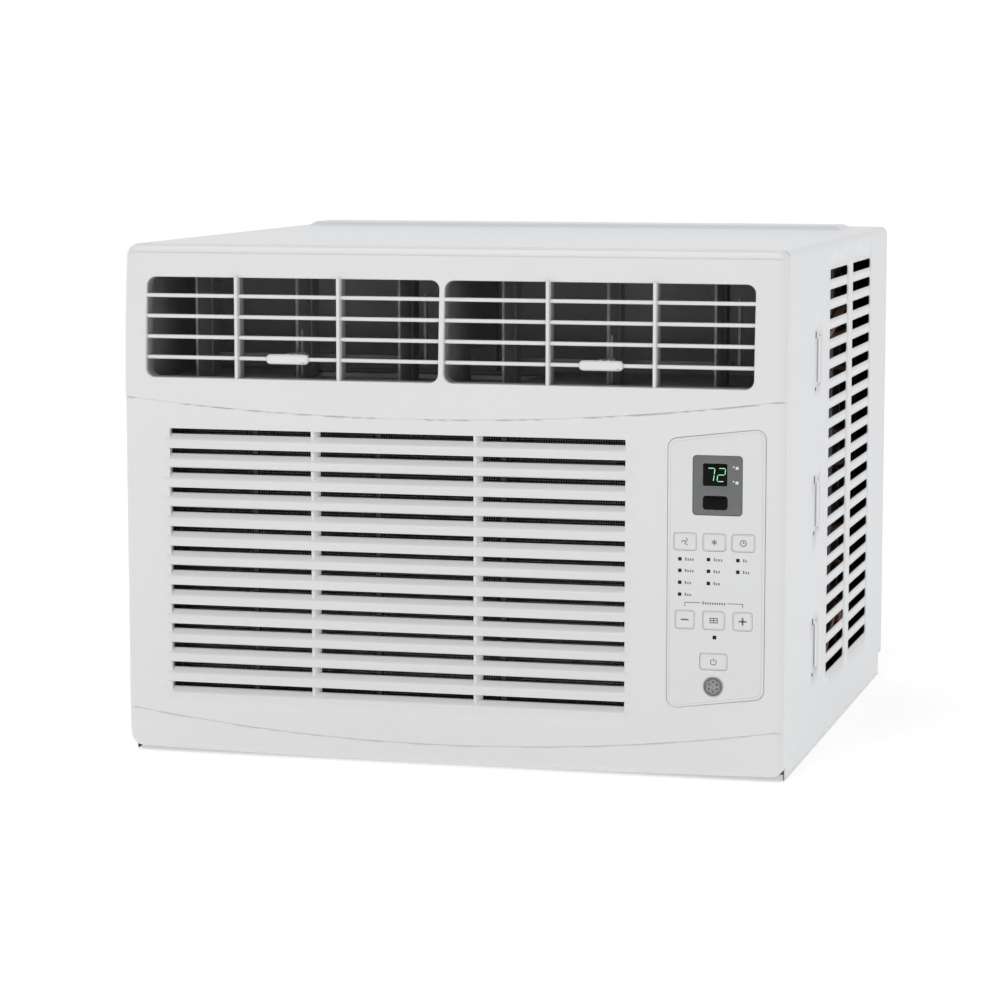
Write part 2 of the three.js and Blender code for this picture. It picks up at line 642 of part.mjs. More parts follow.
// A propeller whose blade tips carry the ring that slings water onto the outdoor coil.
function condenserFan() {
  const [front, rear] = [78, 106];
  const ringY = [88, 98];
  const bore = SHAFT_RADIUS + GAP;
  const [inside, outside] = [FAN_RADIUS - 1.5, FAN_RADIUS + 2];
  const hub = turnedAlongY([
    [bore, front], [22, front], [26, front + 6], [26, rear], [bore, rear], [bore, front],
  ], 0, 0, 24);
  const ring = turnedAlongY([
    [inside, ringY[0]], [outside, ringY[0]], [outside, ringY[1]], [inside, ringY[1]], [inside, ringY[0]],
  ], 0, 0, 32);
  const flat = box([24, FAN_RADIUS], [-1.2, 1.2], [-24, 24]);
  const first = flat.rotate([28, 0, 0]).translate([0, 93, 0]);
  const blades = repeated(FAN_BLADES, (i) => first.rotate([0, (360 * i) / FAN_BLADES, 0]));
  const shaftHole = alongY(disc(0, 0, bore), [60, 120], 16);
  return unite(hub, ring, blades).subtract(shaftHole);
}

function fanShroud() {
  const wall = 1.5;
  const x = [-220, 190];
  const z = [PAN_FLOOR_Z + GAP, 344];
  const plateY = 112;
  const tunnel = alongY(disc(SHAFT_X, SHAFT_Z, FAN_RADIUS + 12), [84, plateY + 1], 32);
  const bore = alongY(disc(SHAFT_X, SHAFT_Z, FAN_RADIUS + 10), [80, plateY + 4], 32);
  const outer = box(x, [plateY, COIL_Y[0] - GAP], z);
  const inner = box(grown(x, -wall), [plateY + wall, COIL_Y[0] + 1], [z[0] + wall, z[1] - wall]);
  return unite(outer.subtract(inner), tunnel).subtract(bore);
}

function condenserCoil() {
  return finnedBlock([-200, 196], COIL_Y, [PAN_FLOOR_Z + GAP, 336], 26);
}

function bulkhead() {
  const y = [-72, -70.8];
  const plate = box(about(0, 223), y, [PAN_FLOOR_Z + GAP, 346]);
  const passages = [[SHAFT_X, SHAFT_Z, 18], [168, 70, 8], [200, 118, 5]];
  const holes = passages.map(([x, z, radius]) => alongY(disc(x, z, radius), grown(y, 1), 14));
  return plate.subtract(unite(holes));
}

// ---------------------------------------------------------------- refrigerant circuit
function compressor() {
  const { x, y, radius } = COMPRESSOR;
  const bottom = GROMMET_TOP + 3;
  const shell = turnedUpright([
    [0, bottom], [radius - 14, bottom], [radius - 2, bottom + 10], [radius, bottom + 22],
    [radius, bottom + 176], [radius - 3, bottom + 192], [radius - 18, bottom + 204], [0, bottom + 208],
  ], x, y, 20);
  const lid = rectangle(about(x - 10, 14), about(y + 8, 14), 4);
  const cover = alongZ(lid, [bottom + 195, bottom + 222]);
  const plateZ = [GROMMET_TOP + GAP, bottom + 3];
  const feet = grommetPlaces().map(([footX, footY]) => alongZ(disc(footX, footY, 12), plateZ, 12));
  const plate = alongZ(disc(x, y, radius + 4), plateZ, 12);
  return unite(shell, cover, feet, plate);
}

function grommetPlaces() {
  const reach = COMPRESSOR.radius + 6;
  return [30, 150, 270].map((degrees) => {
    const angle = THREE.MathUtils.degToRad(degrees);
    return [COMPRESSOR.x + reach * Math.cos(angle), COMPRESSOR.y + reach * Math.sin(angle)];
  });
}

function grommet(x, y) {
  const base = PAN_FLOOR_Z + GAP;
  return turnedUpright([
    [0, base], [11, base], [11, base + 3], [8.5, base + 5], [8.5, GROMMET_TOP - 4],
    [10.5, GROMMET_TOP - 2], [10.5, GROMMET_TOP], [0, GROMMET_TOP],
  ], x, y, 12);
}

function accumulator() {
  const { x, y, radius, z: [low, high] } = ACCUMULATOR;
  return turnedUpright([
    [0, low], [8, low], [radius, low + 14], [radius, high - 14], [8, high], [0, high],
  ], x, y);
}

function suctionLine() {
  const { x, y, z } = ACCUMULATOR;
  return tube([
    [129.3, -180, 52], [136, -179, 52], [137, -150, 56], [150, -125, 62],
    [168, -95, 70], [168, -62, 70], [160, -50, 90], [130, -48, 150],
    [100, -44, 205], [88, -34, 222], [x, y, 214], [x, y, z[1] + GAP],
  ], 4.5, 36, 6);
}

function dischargeLine() {
  const start = GROMMET_TOP + 211.6;
  return tube([
    [168, 36, start], [168, 38, start + 12], [178, 48, start + 30],
    [198, 70, 268], [206, 100, 282], [206, 150, 296],
    [206, 182, 300], [204, 190, 300], [197.4, 192, 300],
  ], 4, 30, 6);
}

function filterDrier() {
  return turnedAlongY([[0, 118], [4, 118], [9, 126], [9, 160], [4, 168], [0, 168]], 207, 60, 14);
}

function capillaryTube() {
  return tube([
    [207, 117, 60], [207, 100, 52], [208.5, 60, 38], [210, 0, 34],
    [212, -45, 70], [200, -71, 118], [176, -104, 124], [150, -134, 127],
    [134, -164, 128], [132, -184, 128], [130, -190, 128],
  ], 1.5, 34, 6);
}

// ---------------------------------------------------------------- base pan, cabinet, gland
function basePan() {
  const wall = 2;
  const front = -204;
  const rear = NOTCH_Y - 1;
  const half = CABINET_HALF - SHEET - 0.5;
  const outside = outline([
    [front, 6], [front + 10, 0], [rear, 0], [rear, PAN_RIM_Z], [front, PAN_RIM_Z],
  ]);
  const inside = outline([
    [front + wall, 8.2], [front + wall + 10, PAN_FLOOR_Z], [rear - wall, PAN_FLOOR_Z],
    [rear - wall, PAN_RIM_Z + 1], [front + wall, PAN_RIM_Z + 1],
  ]);
  const tray = alongX(outside, about(0, half)).subtract(alongX(inside, about(0, half - wall)));
  const ledges = [[-205, -180], [104, 128]].map((x) => box(x, [-198, -170], [2, 34 - GAP]));
  const corners = about(0, half - 4).map((x) => (
    box(about(x, 4), [CABINET_FRONT_Y + 4, -190], [3.5, 12])));
  return unite(tray, ledges, corners);
}

function cabinetSection(inset) {
  const half = CABINET_HALF - inset;
  const top = CABINET_TOP - inset;
  const radius = 9 - inset;
  const shape = new THREE.Shape();
  shape.moveTo(-half, 0.5);
  shape.lineTo(half, 0.5);
  shape.absarc(half - radius, top - radius, radius, 0, Math.PI / 2);
  shape.absarc(-half + radius, top - radius, radius, Math.PI / 2, Math.PI);
  shape.closePath();
  return shape;
}

// The stamped rise near the back of the top, with sloping ends.
function topRise(inset) {
  const top = CABINET_TOP + RISE.height - inset;
  const base = CABINET_TOP - SHEET - 0.5;
  const [left, right] = grown(RISE.x, -inset);
  const face = outline([
    [left, base], [right, base], [right, CABINET_TOP - inset], [right - RISE.slope, top],
    [left + RISE.slope, top], [left, CABINET_TOP - inset],
  ]);
  return alongY(face, grown(RISE.y, -inset));
}

function sideSlots() {
  return SIDE_SLOT_COLUMNS.flatMap((column) => repeated(SIDE_SLOT_ROWS, (row) => {
    const top = SIDE_SLOT_TOP_Z - row * SIDE_SLOT_PITCH;
    return box(about(0, HALF_WIDTH), column, [top - SIDE_SLOT_HEIGHT, top]);
  }));
}

// Three lanced straps down each side hold the edge of the curtain frame.
function straps() {
  return STRAP_TOPS.flatMap((top) => [-1, 1].map((side) => {
    const outer = side * (HALF_WIDTH - 0.1);
    const inner = side * (CABINET_HALF - SHEET);
    const x = [Math.min(outer, inner), Math.max(outer, inner)];
    return box(x, grown(STRAP_Y, -3), [top - STRAP_LENGTH - 2, top + 2]);
  }));
}

function strapWindows() {
  return STRAP_TOPS.map((top) => box(about(0, HALF_WIDTH), STRAP_Y, [top - STRAP_LENGTH, top]));
}

function cabinet() {
  const rearWall = [REAR_Y - SHEET, REAR_Y];
  const length = [CABINET_FRONT_Y, REAR_Y];
  const shell = alongY(cabinetSection(0), length).subtract(alongY(cabinetSection(SHEET), grown(length, 1)));
  const open = box(about(0, CABINET_HALF - SHEET), grown(length, 2), [-1, 20]);
  const flange = alongY(cabinetSection(0.5), rearWall);
  const rearOpening = box(about(0, 206), grown(rearWall, 1), [-5, 330]);
  const notch = box(about(0, HALF_WIDTH), [NOTCH_Y, REAR_Y + 1], [-1, NOTCH_Z]);
  const leftWall = [-HALF_WIDTH, -CABINET_HALF + 5];
  const glandHole = alongX(disc(GLAND.y, GLAND.z, GLAND.radius + GAP), leftWall, 12);
  const body = unite(shell, flange.subtract(rearOpening), topRise(0)).subtract(topRise(SHEET));
  const holed = body.subtract(unite(sideSlots(), strapWindows(), notch, open, glandHole));
  return unite(holed, straps());
}

// A snap-in bush with a bore for the supply lead.
function cordGland() {
  const bore = 4;
  const { y, z, radius } = GLAND;
  const ring = turned([
    [bore, 0], [12, 0], [12, 0.8], [radius, 0.8], [radius, 6],
    [9.5, 6], [9.5, 8], [bore, 8], [bore, 0],
  ], 20);
  return solidOf(ring.rotateZ(-Math.PI / 2)).translate(0, y, z);
}

// ---------------------------------------------------------------- assembly
place('front_panel', frontPanel(), whitePlastic);
place('control_fascia', controlFascia(), whitePlastic);
place('display_window', displayWindow(), blackLens);
place('control_board', controlBoard(), circuitGreen);
BUTTONS.forEach((spec) => place(spec.name, button(spec), whitePlastic));
place('control_box', controlBox(), galvanised);
place('run_capacitor', runCapacitor(), grayPlastic);

addBank('left', LEFT_OUTLET_X, LEFT_BANK_X);
addBank('right', RIGHT_OUTLET_X, RIGHT_BANK_X);
place('outlet_duct', outletDuct(), darkPlastic);

place('air_filter', airFilter(), filterMesh);
place('evaporator_coil', evaporatorCoil(), finAluminium);
place('blower_scroll', blowerScroll(), foamWhite);
place('blower_wheel', blowerWheel(), darkPlastic, [SHAFT_X, 0, SHAFT_Z]);
place('motor_shaft', motorShaft(), shaftSteel);
place('fan_motor', fanMotor(), galvanised);
place('motor_bracket', motorBracket(), galvanised);
place('bulkhead', bulkhead(), galvanised);

place('condenser_fan', condenserFan(), darkPlastic, [SHAFT_X, 0, SHAFT_Z]);
place('fan_shroud', fanShroud(), darkPlastic);
place('condenser_coil', condenserCoil(), finAluminium);
place('compressor', compressor(), blackEnamel);
grommetPlaces().forEach(([x, y], i) => place(`compressor_grommet_${i + 1}`, grommet(x, y), rubber));
place('accumulator', accumulator(), blackEnamel);
place('suction_line', suctionLine(), copper);
place('discharge_line', dischargeLine(), copper);
place('filter_drier', filterDrier(), copper);
place('capillary_tube', capillaryTube(), copper);

place('base_pan', basePan(), blackEnamel);
place('cabinet', cabinet(), whitePaint);
place('cord_gland', cordGland(), rubber, [-HALF_WIDTH, 0, 0]);

export default unit;
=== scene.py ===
# Window air conditioner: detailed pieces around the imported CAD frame.
# Outlines and sizes are in millimetres, and become metres when a mesh is made.
import math

import bmesh
import bpy
import numpy as np
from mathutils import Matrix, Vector
from mathutils.geometry import delaunay_2d_cdt


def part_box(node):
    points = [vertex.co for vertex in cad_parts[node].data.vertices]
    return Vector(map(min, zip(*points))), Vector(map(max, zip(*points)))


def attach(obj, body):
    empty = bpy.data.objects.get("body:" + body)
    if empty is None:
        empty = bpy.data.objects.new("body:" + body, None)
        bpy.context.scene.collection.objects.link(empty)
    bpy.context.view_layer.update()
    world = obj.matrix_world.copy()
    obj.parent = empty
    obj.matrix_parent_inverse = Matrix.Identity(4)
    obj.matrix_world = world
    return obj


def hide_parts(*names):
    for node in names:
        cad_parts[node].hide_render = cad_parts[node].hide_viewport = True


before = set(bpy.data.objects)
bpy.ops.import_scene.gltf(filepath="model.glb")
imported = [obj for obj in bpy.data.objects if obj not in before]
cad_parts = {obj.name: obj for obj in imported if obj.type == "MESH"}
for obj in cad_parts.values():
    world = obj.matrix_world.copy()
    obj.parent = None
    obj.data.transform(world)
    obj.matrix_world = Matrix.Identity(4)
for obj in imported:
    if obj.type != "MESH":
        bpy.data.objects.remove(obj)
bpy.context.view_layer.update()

MM = 0.001
X, Y, Z = 0, 1, 2


def span(node, axis):
    low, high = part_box(node)
    return low[axis] / MM, high[axis] / MM


def middle(node, axis):
    return sum(span(node, axis)) / 2


def grown(pair, amount):
    return pair[0] - amount, pair[1] + amount


# ---------------------------------------------------------------- places from the frame
PANEL_X = span("front_panel", X)
FRONT_Y, PANEL_BACK_Y = span("front_panel", Y)
PANEL_TOP = span("front_panel", Z)[1]
FACE_Y = FRONT_Y + 2
CABINET_X = span("cabinet", X)
CABINET_HALF = CABINET_X[1] - 0.9
CABINET_Y = span("cabinet", Y)
CABINET_TOP = PANEL_TOP
BLADE_Y = FACE_Y + 4

# ---------------------------------------------------------------- driving sizes of the looks
EDGE_INSET = 6
BEVEL_TOP = 343.5
SLOT_X = (-195.5, 122)
SLOT_TOP = 225.5
SLOT_PITCH = 13.4
SLOT_COUNT = 14
SLOT_HEIGHT = 6.6
SLOT_GAP = 4.0
INTAKE_RIBS = (-93.7, 19.7)
OUTLETS = {"left": (-211.7, -5.8), "right": (-2, 207)}
OUTLET_Z = (260.2, 328)
OUTLET_CORNER = 6
BAY = 72
SIDES = ("left", "right")


def bank_middle(side):
    return middle(f"{side}_vane_2", X)


# ---------------------------------------------------------------- outlines
def rounded(corners, radius, steps=6):
    """A closed outline through its corners, each rounded by an arc."""
    out = []
    for i, corner in enumerate(corners):
        here = Vector(corner)
        before = (Vector(corners[i - 1]) - here).normalized()
        after = (Vector(corners[(i + 1) % len(corners)]) - here).normalized()
        half = before.angle(after) / 2
        centre = here + (before + after).normalized() * (radius / math.sin(half))
        start = here + before * (radius / math.tan(half)) - centre
        end = here + after * (radius / math.tan(half)) - centre
        turn = start.angle(end)
        for k in range(steps + 1):
            t = k / steps
            arm = (start * math.sin((1 - t) * turn) + end * math.sin(t * turn)) / math.sin(turn)
            out.append(tuple(centre + arm))
    return out


def rectangle(u, v, radius, steps=6):
    return rounded([(u[0], v[0]), (u[1], v[0]), (u[1], v[1]), (u[0], v[1])], radius, steps)


def circle(u, v, radius, steps=32):
    angles = [2 * math.pi * k / steps for k in range(steps)]
    return [(u + radius * math.cos(a), v + radius * math.sin(a)) for a in angles]


def divided(line, step, closed=True):
    """The same line with points added, so that no stretch is longer than step."""
    out = []
    ends = line[1:] + line[:1] if closed else line[1:]
    for a, b in zip(line, ends):
        count = max(1, math.ceil(math.dist(a, b) / step))
        out += [(a[0] + (b[0] - a[0]) * k / count, a[1] + (b[1] - a[1]) * k / count) for k in range(count)]
    return out if closed else out + [line[-1]]


def normals_of(outline):
    """Outward normals of an outline that runs anticlockwise."""
    points = np.array(outline)
    ahead = np.roll(points, -1, axis=0) - points
    behind = points - np.roll(points, 1, axis=0)
    ahead /= np.linalg.norm(ahead, axis=1)[:, None]
    behind /= np.linalg.norm(behind, axis=1)[:, None]
    mean = ahead + behind
    mean /= np.linalg.norm(mean, axis=1)[:, None]
    return np.stack([mean[:, 1], -mean[:, 0]], axis=1)


def offset(outline, distance):
    return [tuple(p) for p in np.array(outline) + normals_of(outline) * distance]


def inside(points, outline):
    """Which points lie inside a closed outline."""
    px, py = points[:, 0], points[:, 1]
    result = np.zeros(len(points), bool)
    for (x0, y0), (x1, y1) in zip(outline, outline[1:] + outline[:1]):
        if y0 == y1:
            continue
        crosses = (y0 > py) != (y1 > py)
        result ^= crosses & (px < (x1 - x0) * (py - y0) / (y1 - y0) + x0)
    return result


def filled(outline, holes=(), loops=(), lines=(), step=5):
    """Triangles that fill an outline with holes. loops and lines are kept as edges."""
    points, edges = [], []

    def keep(line, closed):
        first = len(points)
        points.extend(line)
        edges.extend((first + k, first + k + 1) for k in range(len(line) - 1))
        if closed:
            edges.append((first + len(line) - 1, first))

    for loop in [outline, *holes, *loops]:
        keep(loop, True)
    for line in lines:
        keep(line, False)
    fixed = np.array(points)
    low, high = fixed.min(0), fixed.max(0)
    across = np.arange(low[0] + step / 2, high[0], step)
    up = np.arange(low[1] + step / 2, high[1], step)
    grid = np.stack(np.meshgrid(across, up), axis=-1).reshape(-1, 2)
    grid = grid[inside(grid, outline)]
    for hole in holes:
        grid = grid[~inside(grid, hole)]
    clear = [np.min(np.hypot(*(fixed - p).T)) > step * 0.5 for p in grid]
    points.extend(map(tuple, grid[np.array(clear, bool)] if len(grid) else []))
    result = delaunay_2d_cdt([Vector(p) for p in points], edges, [], 0, 1e-5)
    verts = np.array([tuple(v) for v in result[0]])
    faces = np.array(result[2])
    centres = verts[faces].mean(axis=1)
    wanted = inside(centres, outline)
    for hole in holes:
        wanted &= ~inside(centres, hole)
    return verts, [tuple(int(i) for i in f) for f in faces[wanted]]


# ---------------------------------------------------------------- meshes
class Solid:
    """Points and faces in millimetres, gathered before they become one object."""

    def __init__(self):
        self.points = []
        self.faces = []

    def add(self, points, faces):
        first = len(self.points)
        self.points.extend(tuple(map(float, p)) for p in points)
        self.faces.extend(tuple(first + i for i in f) for f in faces)

    def rings(self, rings, closed=True, caps=False):
        """Joins equally long rings of points with quads."""
        first = len(self.points)
        count = len(rings[0])
        for ring in rings:
            self.points.extend(tuple(map(float, p)) for p in ring)
        for r in range(len(rings) - 1):
            a = first + r * count
            b = a + count
            for k in range(count if closed else count - 1):
                n = (k + 1) % count
                self.faces.append((a + k, a + n, b + n, b + k))
        if caps:
            self.faces.append(tuple(range(first, first + count)))
            last = first + (len(rings) - 1) * count
            self.faces.append(tuple(range(last, last + count)))

    def box(self, x, y, z):
        ring = [(x[0], y[0]), (x[1], y[0]), (x[1], y[1]), (x[0], y[1])]
        self.rings([[(a, b, h) for a, b in ring] for h in z], caps=True)

    def slab(self, outline, holes, place, front, back, radius=0.0, step=5, lines=()):
        """A plate: place(u, v, h) puts an outline point at height h; its front edge is rounded."""
        loops = []
        if radius:
            for share in (0.3, 0.65, 1):
                loops.append(offset(outline, -radius * share))
                loops += [offset(hole, radius * share) for hole in holes]
        verts, faces = filled(outline, holes, loops, lines, step)
        fixed = np.array(list(outline) + [p for hole in holes for p in hole])
        heights = []
        for p in verts:
            gap = np.min(np.hypot(*(fixed - p).T)) if radius else 0
            short = max(0.0, radius - gap)
            heights.append(front + radius - math.sqrt(max(0.0, radius ** 2 - short ** 2)))
        self.add([place(*p, h) for p, h in zip(verts, heights)], faces)
        self.add([place(*p, back) for p in verts], [f[::-1] for f in faces])
        for loop in [outline, *holes]:
            self.rings([[place(*p, front + radius) for p in loop], [place(*p, back) for p in loop]])


def facing_front(u, v, h):
    return u, h, v


WELD = 1e-3 * MM


def make(name, solid, material, body, smooth=35, facing=None):
    """An object in metres that rides on a body. An open skin says which way its faces look."""
    mesh = bpy.data.meshes.new(name)
    mesh.from_pydata([tuple(c * MM for c in p) for p in solid.points], [], solid.faces)
    work = bmesh.new()
    work.from_mesh(mesh)
    bmesh.ops.remove_doubles(work, verts=work.verts, dist=WELD)
    bmesh.ops.dissolve_degenerate(work, edges=work.edges, dist=WELD)
    bmesh.ops.recalc_face_normals(work, faces=work.faces)
    if facing:
        mean = sum((f.normal * f.calc_area() for f in work.faces), Vector())
        if mean.dot(Vector(facing)) < 0:
            bmesh.ops.reverse_faces(work, faces=work.faces)
    work.to_mesh(mesh)
    work.free()
    mesh.shade_smooth()
    mesh.set_sharp_from_angle(angle=math.radians(smooth))
    piece = bpy.data.objects.new(name, mesh)
    bpy.context.scene.collection.objects.link(piece)
    mesh.materials.append(FINISHES[material])
    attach(piece, body)
    return piece


def thicken(piece, thickness):
    wall = piece.modifiers.new("wall", "SOLIDIFY")
    wall.thickness = thickness * MM
    wall.offset = -1


def soften(piece, width, segments=2, angle=35):
    edge = piece.modifiers.new("edges", "BEVEL")
    edge.width = width * MM
    edge.segments = segments
    edge.limit_method = "ANGLE"
    edge.angle_limit = math.radians(angle)
    edge.harden_normals = False


# ---------------------------------------------------------------- materials
GLOSS_SPREAD = 0.06
COAT_ROUGHNESS = 0.15
GRAIN_STRENGTH = 0.4
WORN_EDGE = (0.53, 0.62)      # pointiness at which wear begins, and is full
SPANGLE = 9


def finish(name, colour, roughness, metallic=0.0, mottle=0.02, mottle_size=60, grain_size=0.5,
           grain_depth=0.01, coat=0.0, wear=0.0, stretch=(1, 1, 1), specular=0.5):
    """A surface with slow colour variation, fine grain in gloss and height, and worn edges."""
    material = bpy.data.materials.new(name)
    material.use_nodes = True
    tree = material.node_tree
    nodes, links = tree.nodes, tree.links
    shader = nodes["Principled BSDF"]
    shader.inputs["Metallic"].default_value = metallic
    shader.inputs["Coat Weight"].default_value = coat
    shader.inputs["Specular IOR Level"].default_value = specular
    shader.inputs["Coat Roughness"].default_value = COAT_ROUGHNESS
    place = nodes.new("ShaderNodeTexCoord")
    scaled = nodes.new("ShaderNodeMapping")
    scaled.inputs["Scale"].default_value = stretch
    links.new(place.outputs["Object"], scaled.inputs["Vector"])

    def noise(size, detail):
        node = nodes.new("ShaderNodeTexNoise")
        node.inputs["Scale"].default_value = 1 / (size * MM)
        node.inputs["Detail"].default_value = detail
        links.new(scaled.outputs["Vector"], node.inputs["Vector"])
        return node.outputs["Fac"]

    slow, fine = noise(mottle_size, 4), noise(grain_size, 2)
    tint = nodes.new("ShaderNodeValToRGB")
    tint.color_ramp.elements[0].position = 0.3
    tint.color_ramp.elements[1].position = 0.7
    tint.color_ramp.elements[0].color = [c * (1 - mottle) for c in colour] + [1]
    tint.color_ramp.elements[1].color = [min(1, c * (1 + mottle)) for c in colour] + [1]
    links.new(slow, tint.inputs["Fac"])
    colour_out = tint.outputs["Color"]
    if wear:
        edge = nodes.new("ShaderNodeNewGeometry")
        ramp = nodes.new("ShaderNodeMapRange")
        ramp.inputs["From Min"].default_value = WORN_EDGE[0]
        ramp.inputs["From Max"].default_value = WORN_EDGE[1]
        ramp.inputs["To Max"].default_value = wear
        links.new(edge.outputs["Pointiness"], ramp.inputs["Value"])
        worn = nodes.new("ShaderNodeMixRGB")
        worn.inputs["Color2"].default_value = [min(1, 0.35 + c * 0.65) for c in colour] + [1]
        links.new(ramp.outputs["Result"], worn.inputs["Fac"])
        links.new(colour_out, worn.inputs["Color1"])
        colour_out = worn.outputs["Color"]
    links.new(colour_out, shader.inputs["Base Color"])
    gloss = nodes.new("ShaderNodeMapRange")
    gloss.inputs["To Min"].default_value = max(0.02, roughness - GLOSS_SPREAD)
    gloss.inputs["To Max"].default_value = roughness + GLOSS_SPREAD
    links.new(slow, gloss.inputs["Value"])
    links.new(gloss.outputs["Result"], shader.inputs["Roughness"])
    bump = nodes.new("ShaderNodeBump")
    bump.inputs["Strength"].default_value = GRAIN_STRENGTH
    bump.inputs["Distance"].default_value = grain_depth * MM
    links.new(fine, bump.inputs["Height"])
    links.new(bump.outputs["Normal"], shader.inputs["Normal"])
    return material


def add_spangle(material):
    """The cell-like spangle of a hot-dipped sheet, over a zinc finish."""
    tree = material.node_tree
    cells = tree.nodes.new("ShaderNodeTexVoronoi")
    cells.inputs["Scale"].default_value = 1 / (SPANGLE * MM)
    place = next(n for n in tree.nodes if n.type == "TEX_COORD")
    tree.links.new(place.outputs["Object"], cells.inputs["Vector"])
    ramp = tree.nodes.new("ShaderNodeValToRGB")
    ramp.color_ramp.elements[0].color = (0.46, 0.48, 0.5, 1)
    ramp.color_ramp.elements[1].color = (0.68, 0.7, 0.72, 1)
    tree.links.new(cells.outputs["Color"], ramp.inputs["Fac"])
    tree.links.new(ramp.outputs["Color"], tree.nodes["Principled BSDF"].inputs["Base Color"])


def add_glow(material, colour, strength):
    shader = material.node_tree.nodes["Principled BSDF"]
    shader.inputs["Emission Color"].default_value = (*colour, 1)
    shader.inputs["Emission Strength"].default_value = strength


FINE_PRINT = dict(mottle=0.05, mottle_size=4)
RECIPES = {
    "white_plastic": ((0.72, 0.722, 0.724), 0.38,
                      dict(mottle=0.008, mottle_size=90, grain_size=0.7, grain_depth=0.012)),
    "fascia": ((0.70, 0.704, 0.708), 0.34, dict(mottle=0.006, grain_size=0.4, grain_depth=0.004)),
    "button_plastic": ((0.70, 0.704, 0.708), 0.42, dict(mottle=0.008, mottle_size=20, grain_size=0.4)),
    "display_bezel": ((0.13, 0.135, 0.14), 0.28, dict(mottle=0.04, mottle_size=25, grain_depth=0.004)),
    "black_lens": ((0.005, 0.006, 0.005), 0.12, dict(mottle=0.1, grain_depth=0.001, specular=0.06)),
    "circuit_board": ((0.03, 0.16, 0.07), 0.35, dict(mottle=0.15, mottle_size=12)),
    "white_paint": ((0.69, 0.70, 0.715), 0.42,
                    dict(mottle=0.01, mottle_size=70, grain_size=1.1, grain_depth=0.03, coat=0.15, wear=0.25)),
    "dark_plastic": ((0.05, 0.053, 0.058), 0.5, dict(mottle=0.12, mottle_size=40, grain_size=0.6, wear=0.1)),
    "duct_plastic_and_shade": ((0.34, 0.342, 0.335), 0.6, dict(mottle=0.08, mottle_size=40, grain_size=0.6)),
    "vane_plastic": ((0.26, 0.262, 0.258), 0.55, dict(mottle=0.08, mottle_size=40, grain_size=0.6)),
    "gray_plastic": ((0.14, 0.145, 0.15), 0.45, dict(mottle=0.06, wear=0.15)),
    "filter_frame": ((0.03, 0.032, 0.035), 0.6, dict(mottle=0.1, wear=0.15)),
    "filter_net": ((0.01, 0.01, 0.011), 0.8, dict(mottle=0.1, mottle_size=15, specular=0.2)),
    "coil_fins": ((0.62, 0.63, 0.64), 0.34, dict(metallic=0.9, mottle=0.06, mottle_size=25, wear=0.2)),
    "galvanised_steel": ((0.56, 0.58, 0.6), 0.42,
                         dict(metallic=0.85, mottle=0.03, mottle_size=20, grain_size=0.6, wear=0.3)),
    "motor_steel": ((0.34, 0.35, 0.36), 0.45, dict(metallic=0.4, mottle=0.05, wear=0.4)),
    "capacitor_can": ((0.66, 0.66, 0.67), 0.3,
                      dict(metallic=0.9, mottle=0.03, mottle_size=30, grain_size=0.3, stretch=(1, 1, 0.1))),
    "black_enamel": ((0.013, 0.013, 0.015), 0.3,
                     dict(mottle=0.1, grain_size=2, grain_depth=0.05, coat=0.4, wear=0.3)),
    "pan_enamel": ((0.03, 0.031, 0.034), 0.4, dict(mottle=0.12, grain_size=1.5, grain_depth=0.05, wear=0.35)),
    "copper": ((0.28, 0.135, 0.085), 0.45,
               dict(metallic=0.9, mottle=0.2, mottle_size=18, grain_size=0.4, wear=0.2)),
    "rubber": ((0.016, 0.016, 0.017), 0.75,
               dict(mottle=0.15, mottle_size=8, grain_size=0.4, grain_depth=0.03)),
    "foam": ((0.74, 0.74, 0.71), 0.85, dict(mottle=0.05, mottle_size=5, grain_size=2.5, grain_depth=0.2)),
    "shaft_steel": ((0.55, 0.56, 0.57), 0.25,
                    dict(metallic=1.0, mottle=0.04, grain_size=0.3, stretch=(1, 0.1, 1))),
    "gap_shade_grey": ((0.47, 0.475, 0.48), 0.5, dict(mottle=0.04, mottle_size=4)),
    "print_gray": ((0.15, 0.155, 0.16), 0.5, dict(FINE_PRINT, specular=0.25)),
    "dark_print_and_shade": ((0.012, 0.012, 0.013), 0.5, dict(FINE_PRINT, specular=0.15)),
    "badge_metal": ((0.46, 0.465, 0.47), 0.32,
                    dict(metallic=0.6, mottle=0.05, mottle_size=6, grain_size=0.3)),
    "digit_green": ((0.28, 0.72, 0.38), 0.4, dict(mottle=0.05, mottle_size=2)),
    "floor_paper": ((0.62, 0.62, 0.62), 0.9, dict(mottle=0.004, mottle_size=400)),
}
FINISHES = {
    name: finish(name, colour, roughness, **rest)
    for name, (colour, roughness, rest) in RECIPES.items()
}
add_spangle(FINISHES["galvanised_steel"])
add_glow(FINISHES["digit_green"], RECIPES["digit_green"][0], 0.6)
add_glow(FINISHES["floor_paper"], RECIPES["floor_paper"][0], 0.85)


# ---------------------------------------------------------------- front panel
def upper_crease(x):
    return 235.76 + 0.0139 * x + 0.000272 * x * x


def lower_crease(x):
    return 15.8 + 0.0066 * x + 0.000352 * x * x


def louvre_top(z):
    """The top of the slot that belongs to the height z, or None outside the intake."""
    row = math.floor((SLOT_TOP - z - 1e-6) / SLOT_PITCH)
    if z > SLOT_TOP or row < 0 or row >= SLOT_COUNT:
        return None
    return SLOT_TOP - row * SLOT_PITCH


WING = 8                    # the louvres fade out this far left of their slots
WING_RISE = 4.3             # how far the louvre's upper edge climbs on the way
RIGHT_FADE = 3
LOUVRE_HEIGHT = (1.3, 2.0)  # how far a louvre stands out at its upper and its lower edge
CREST_ROUND = (2.0, 1.5)    # reach and drop of the rounding at its upper edge
TAIL_ROUND = (0.7, 0.5)     # the same at its lower edge


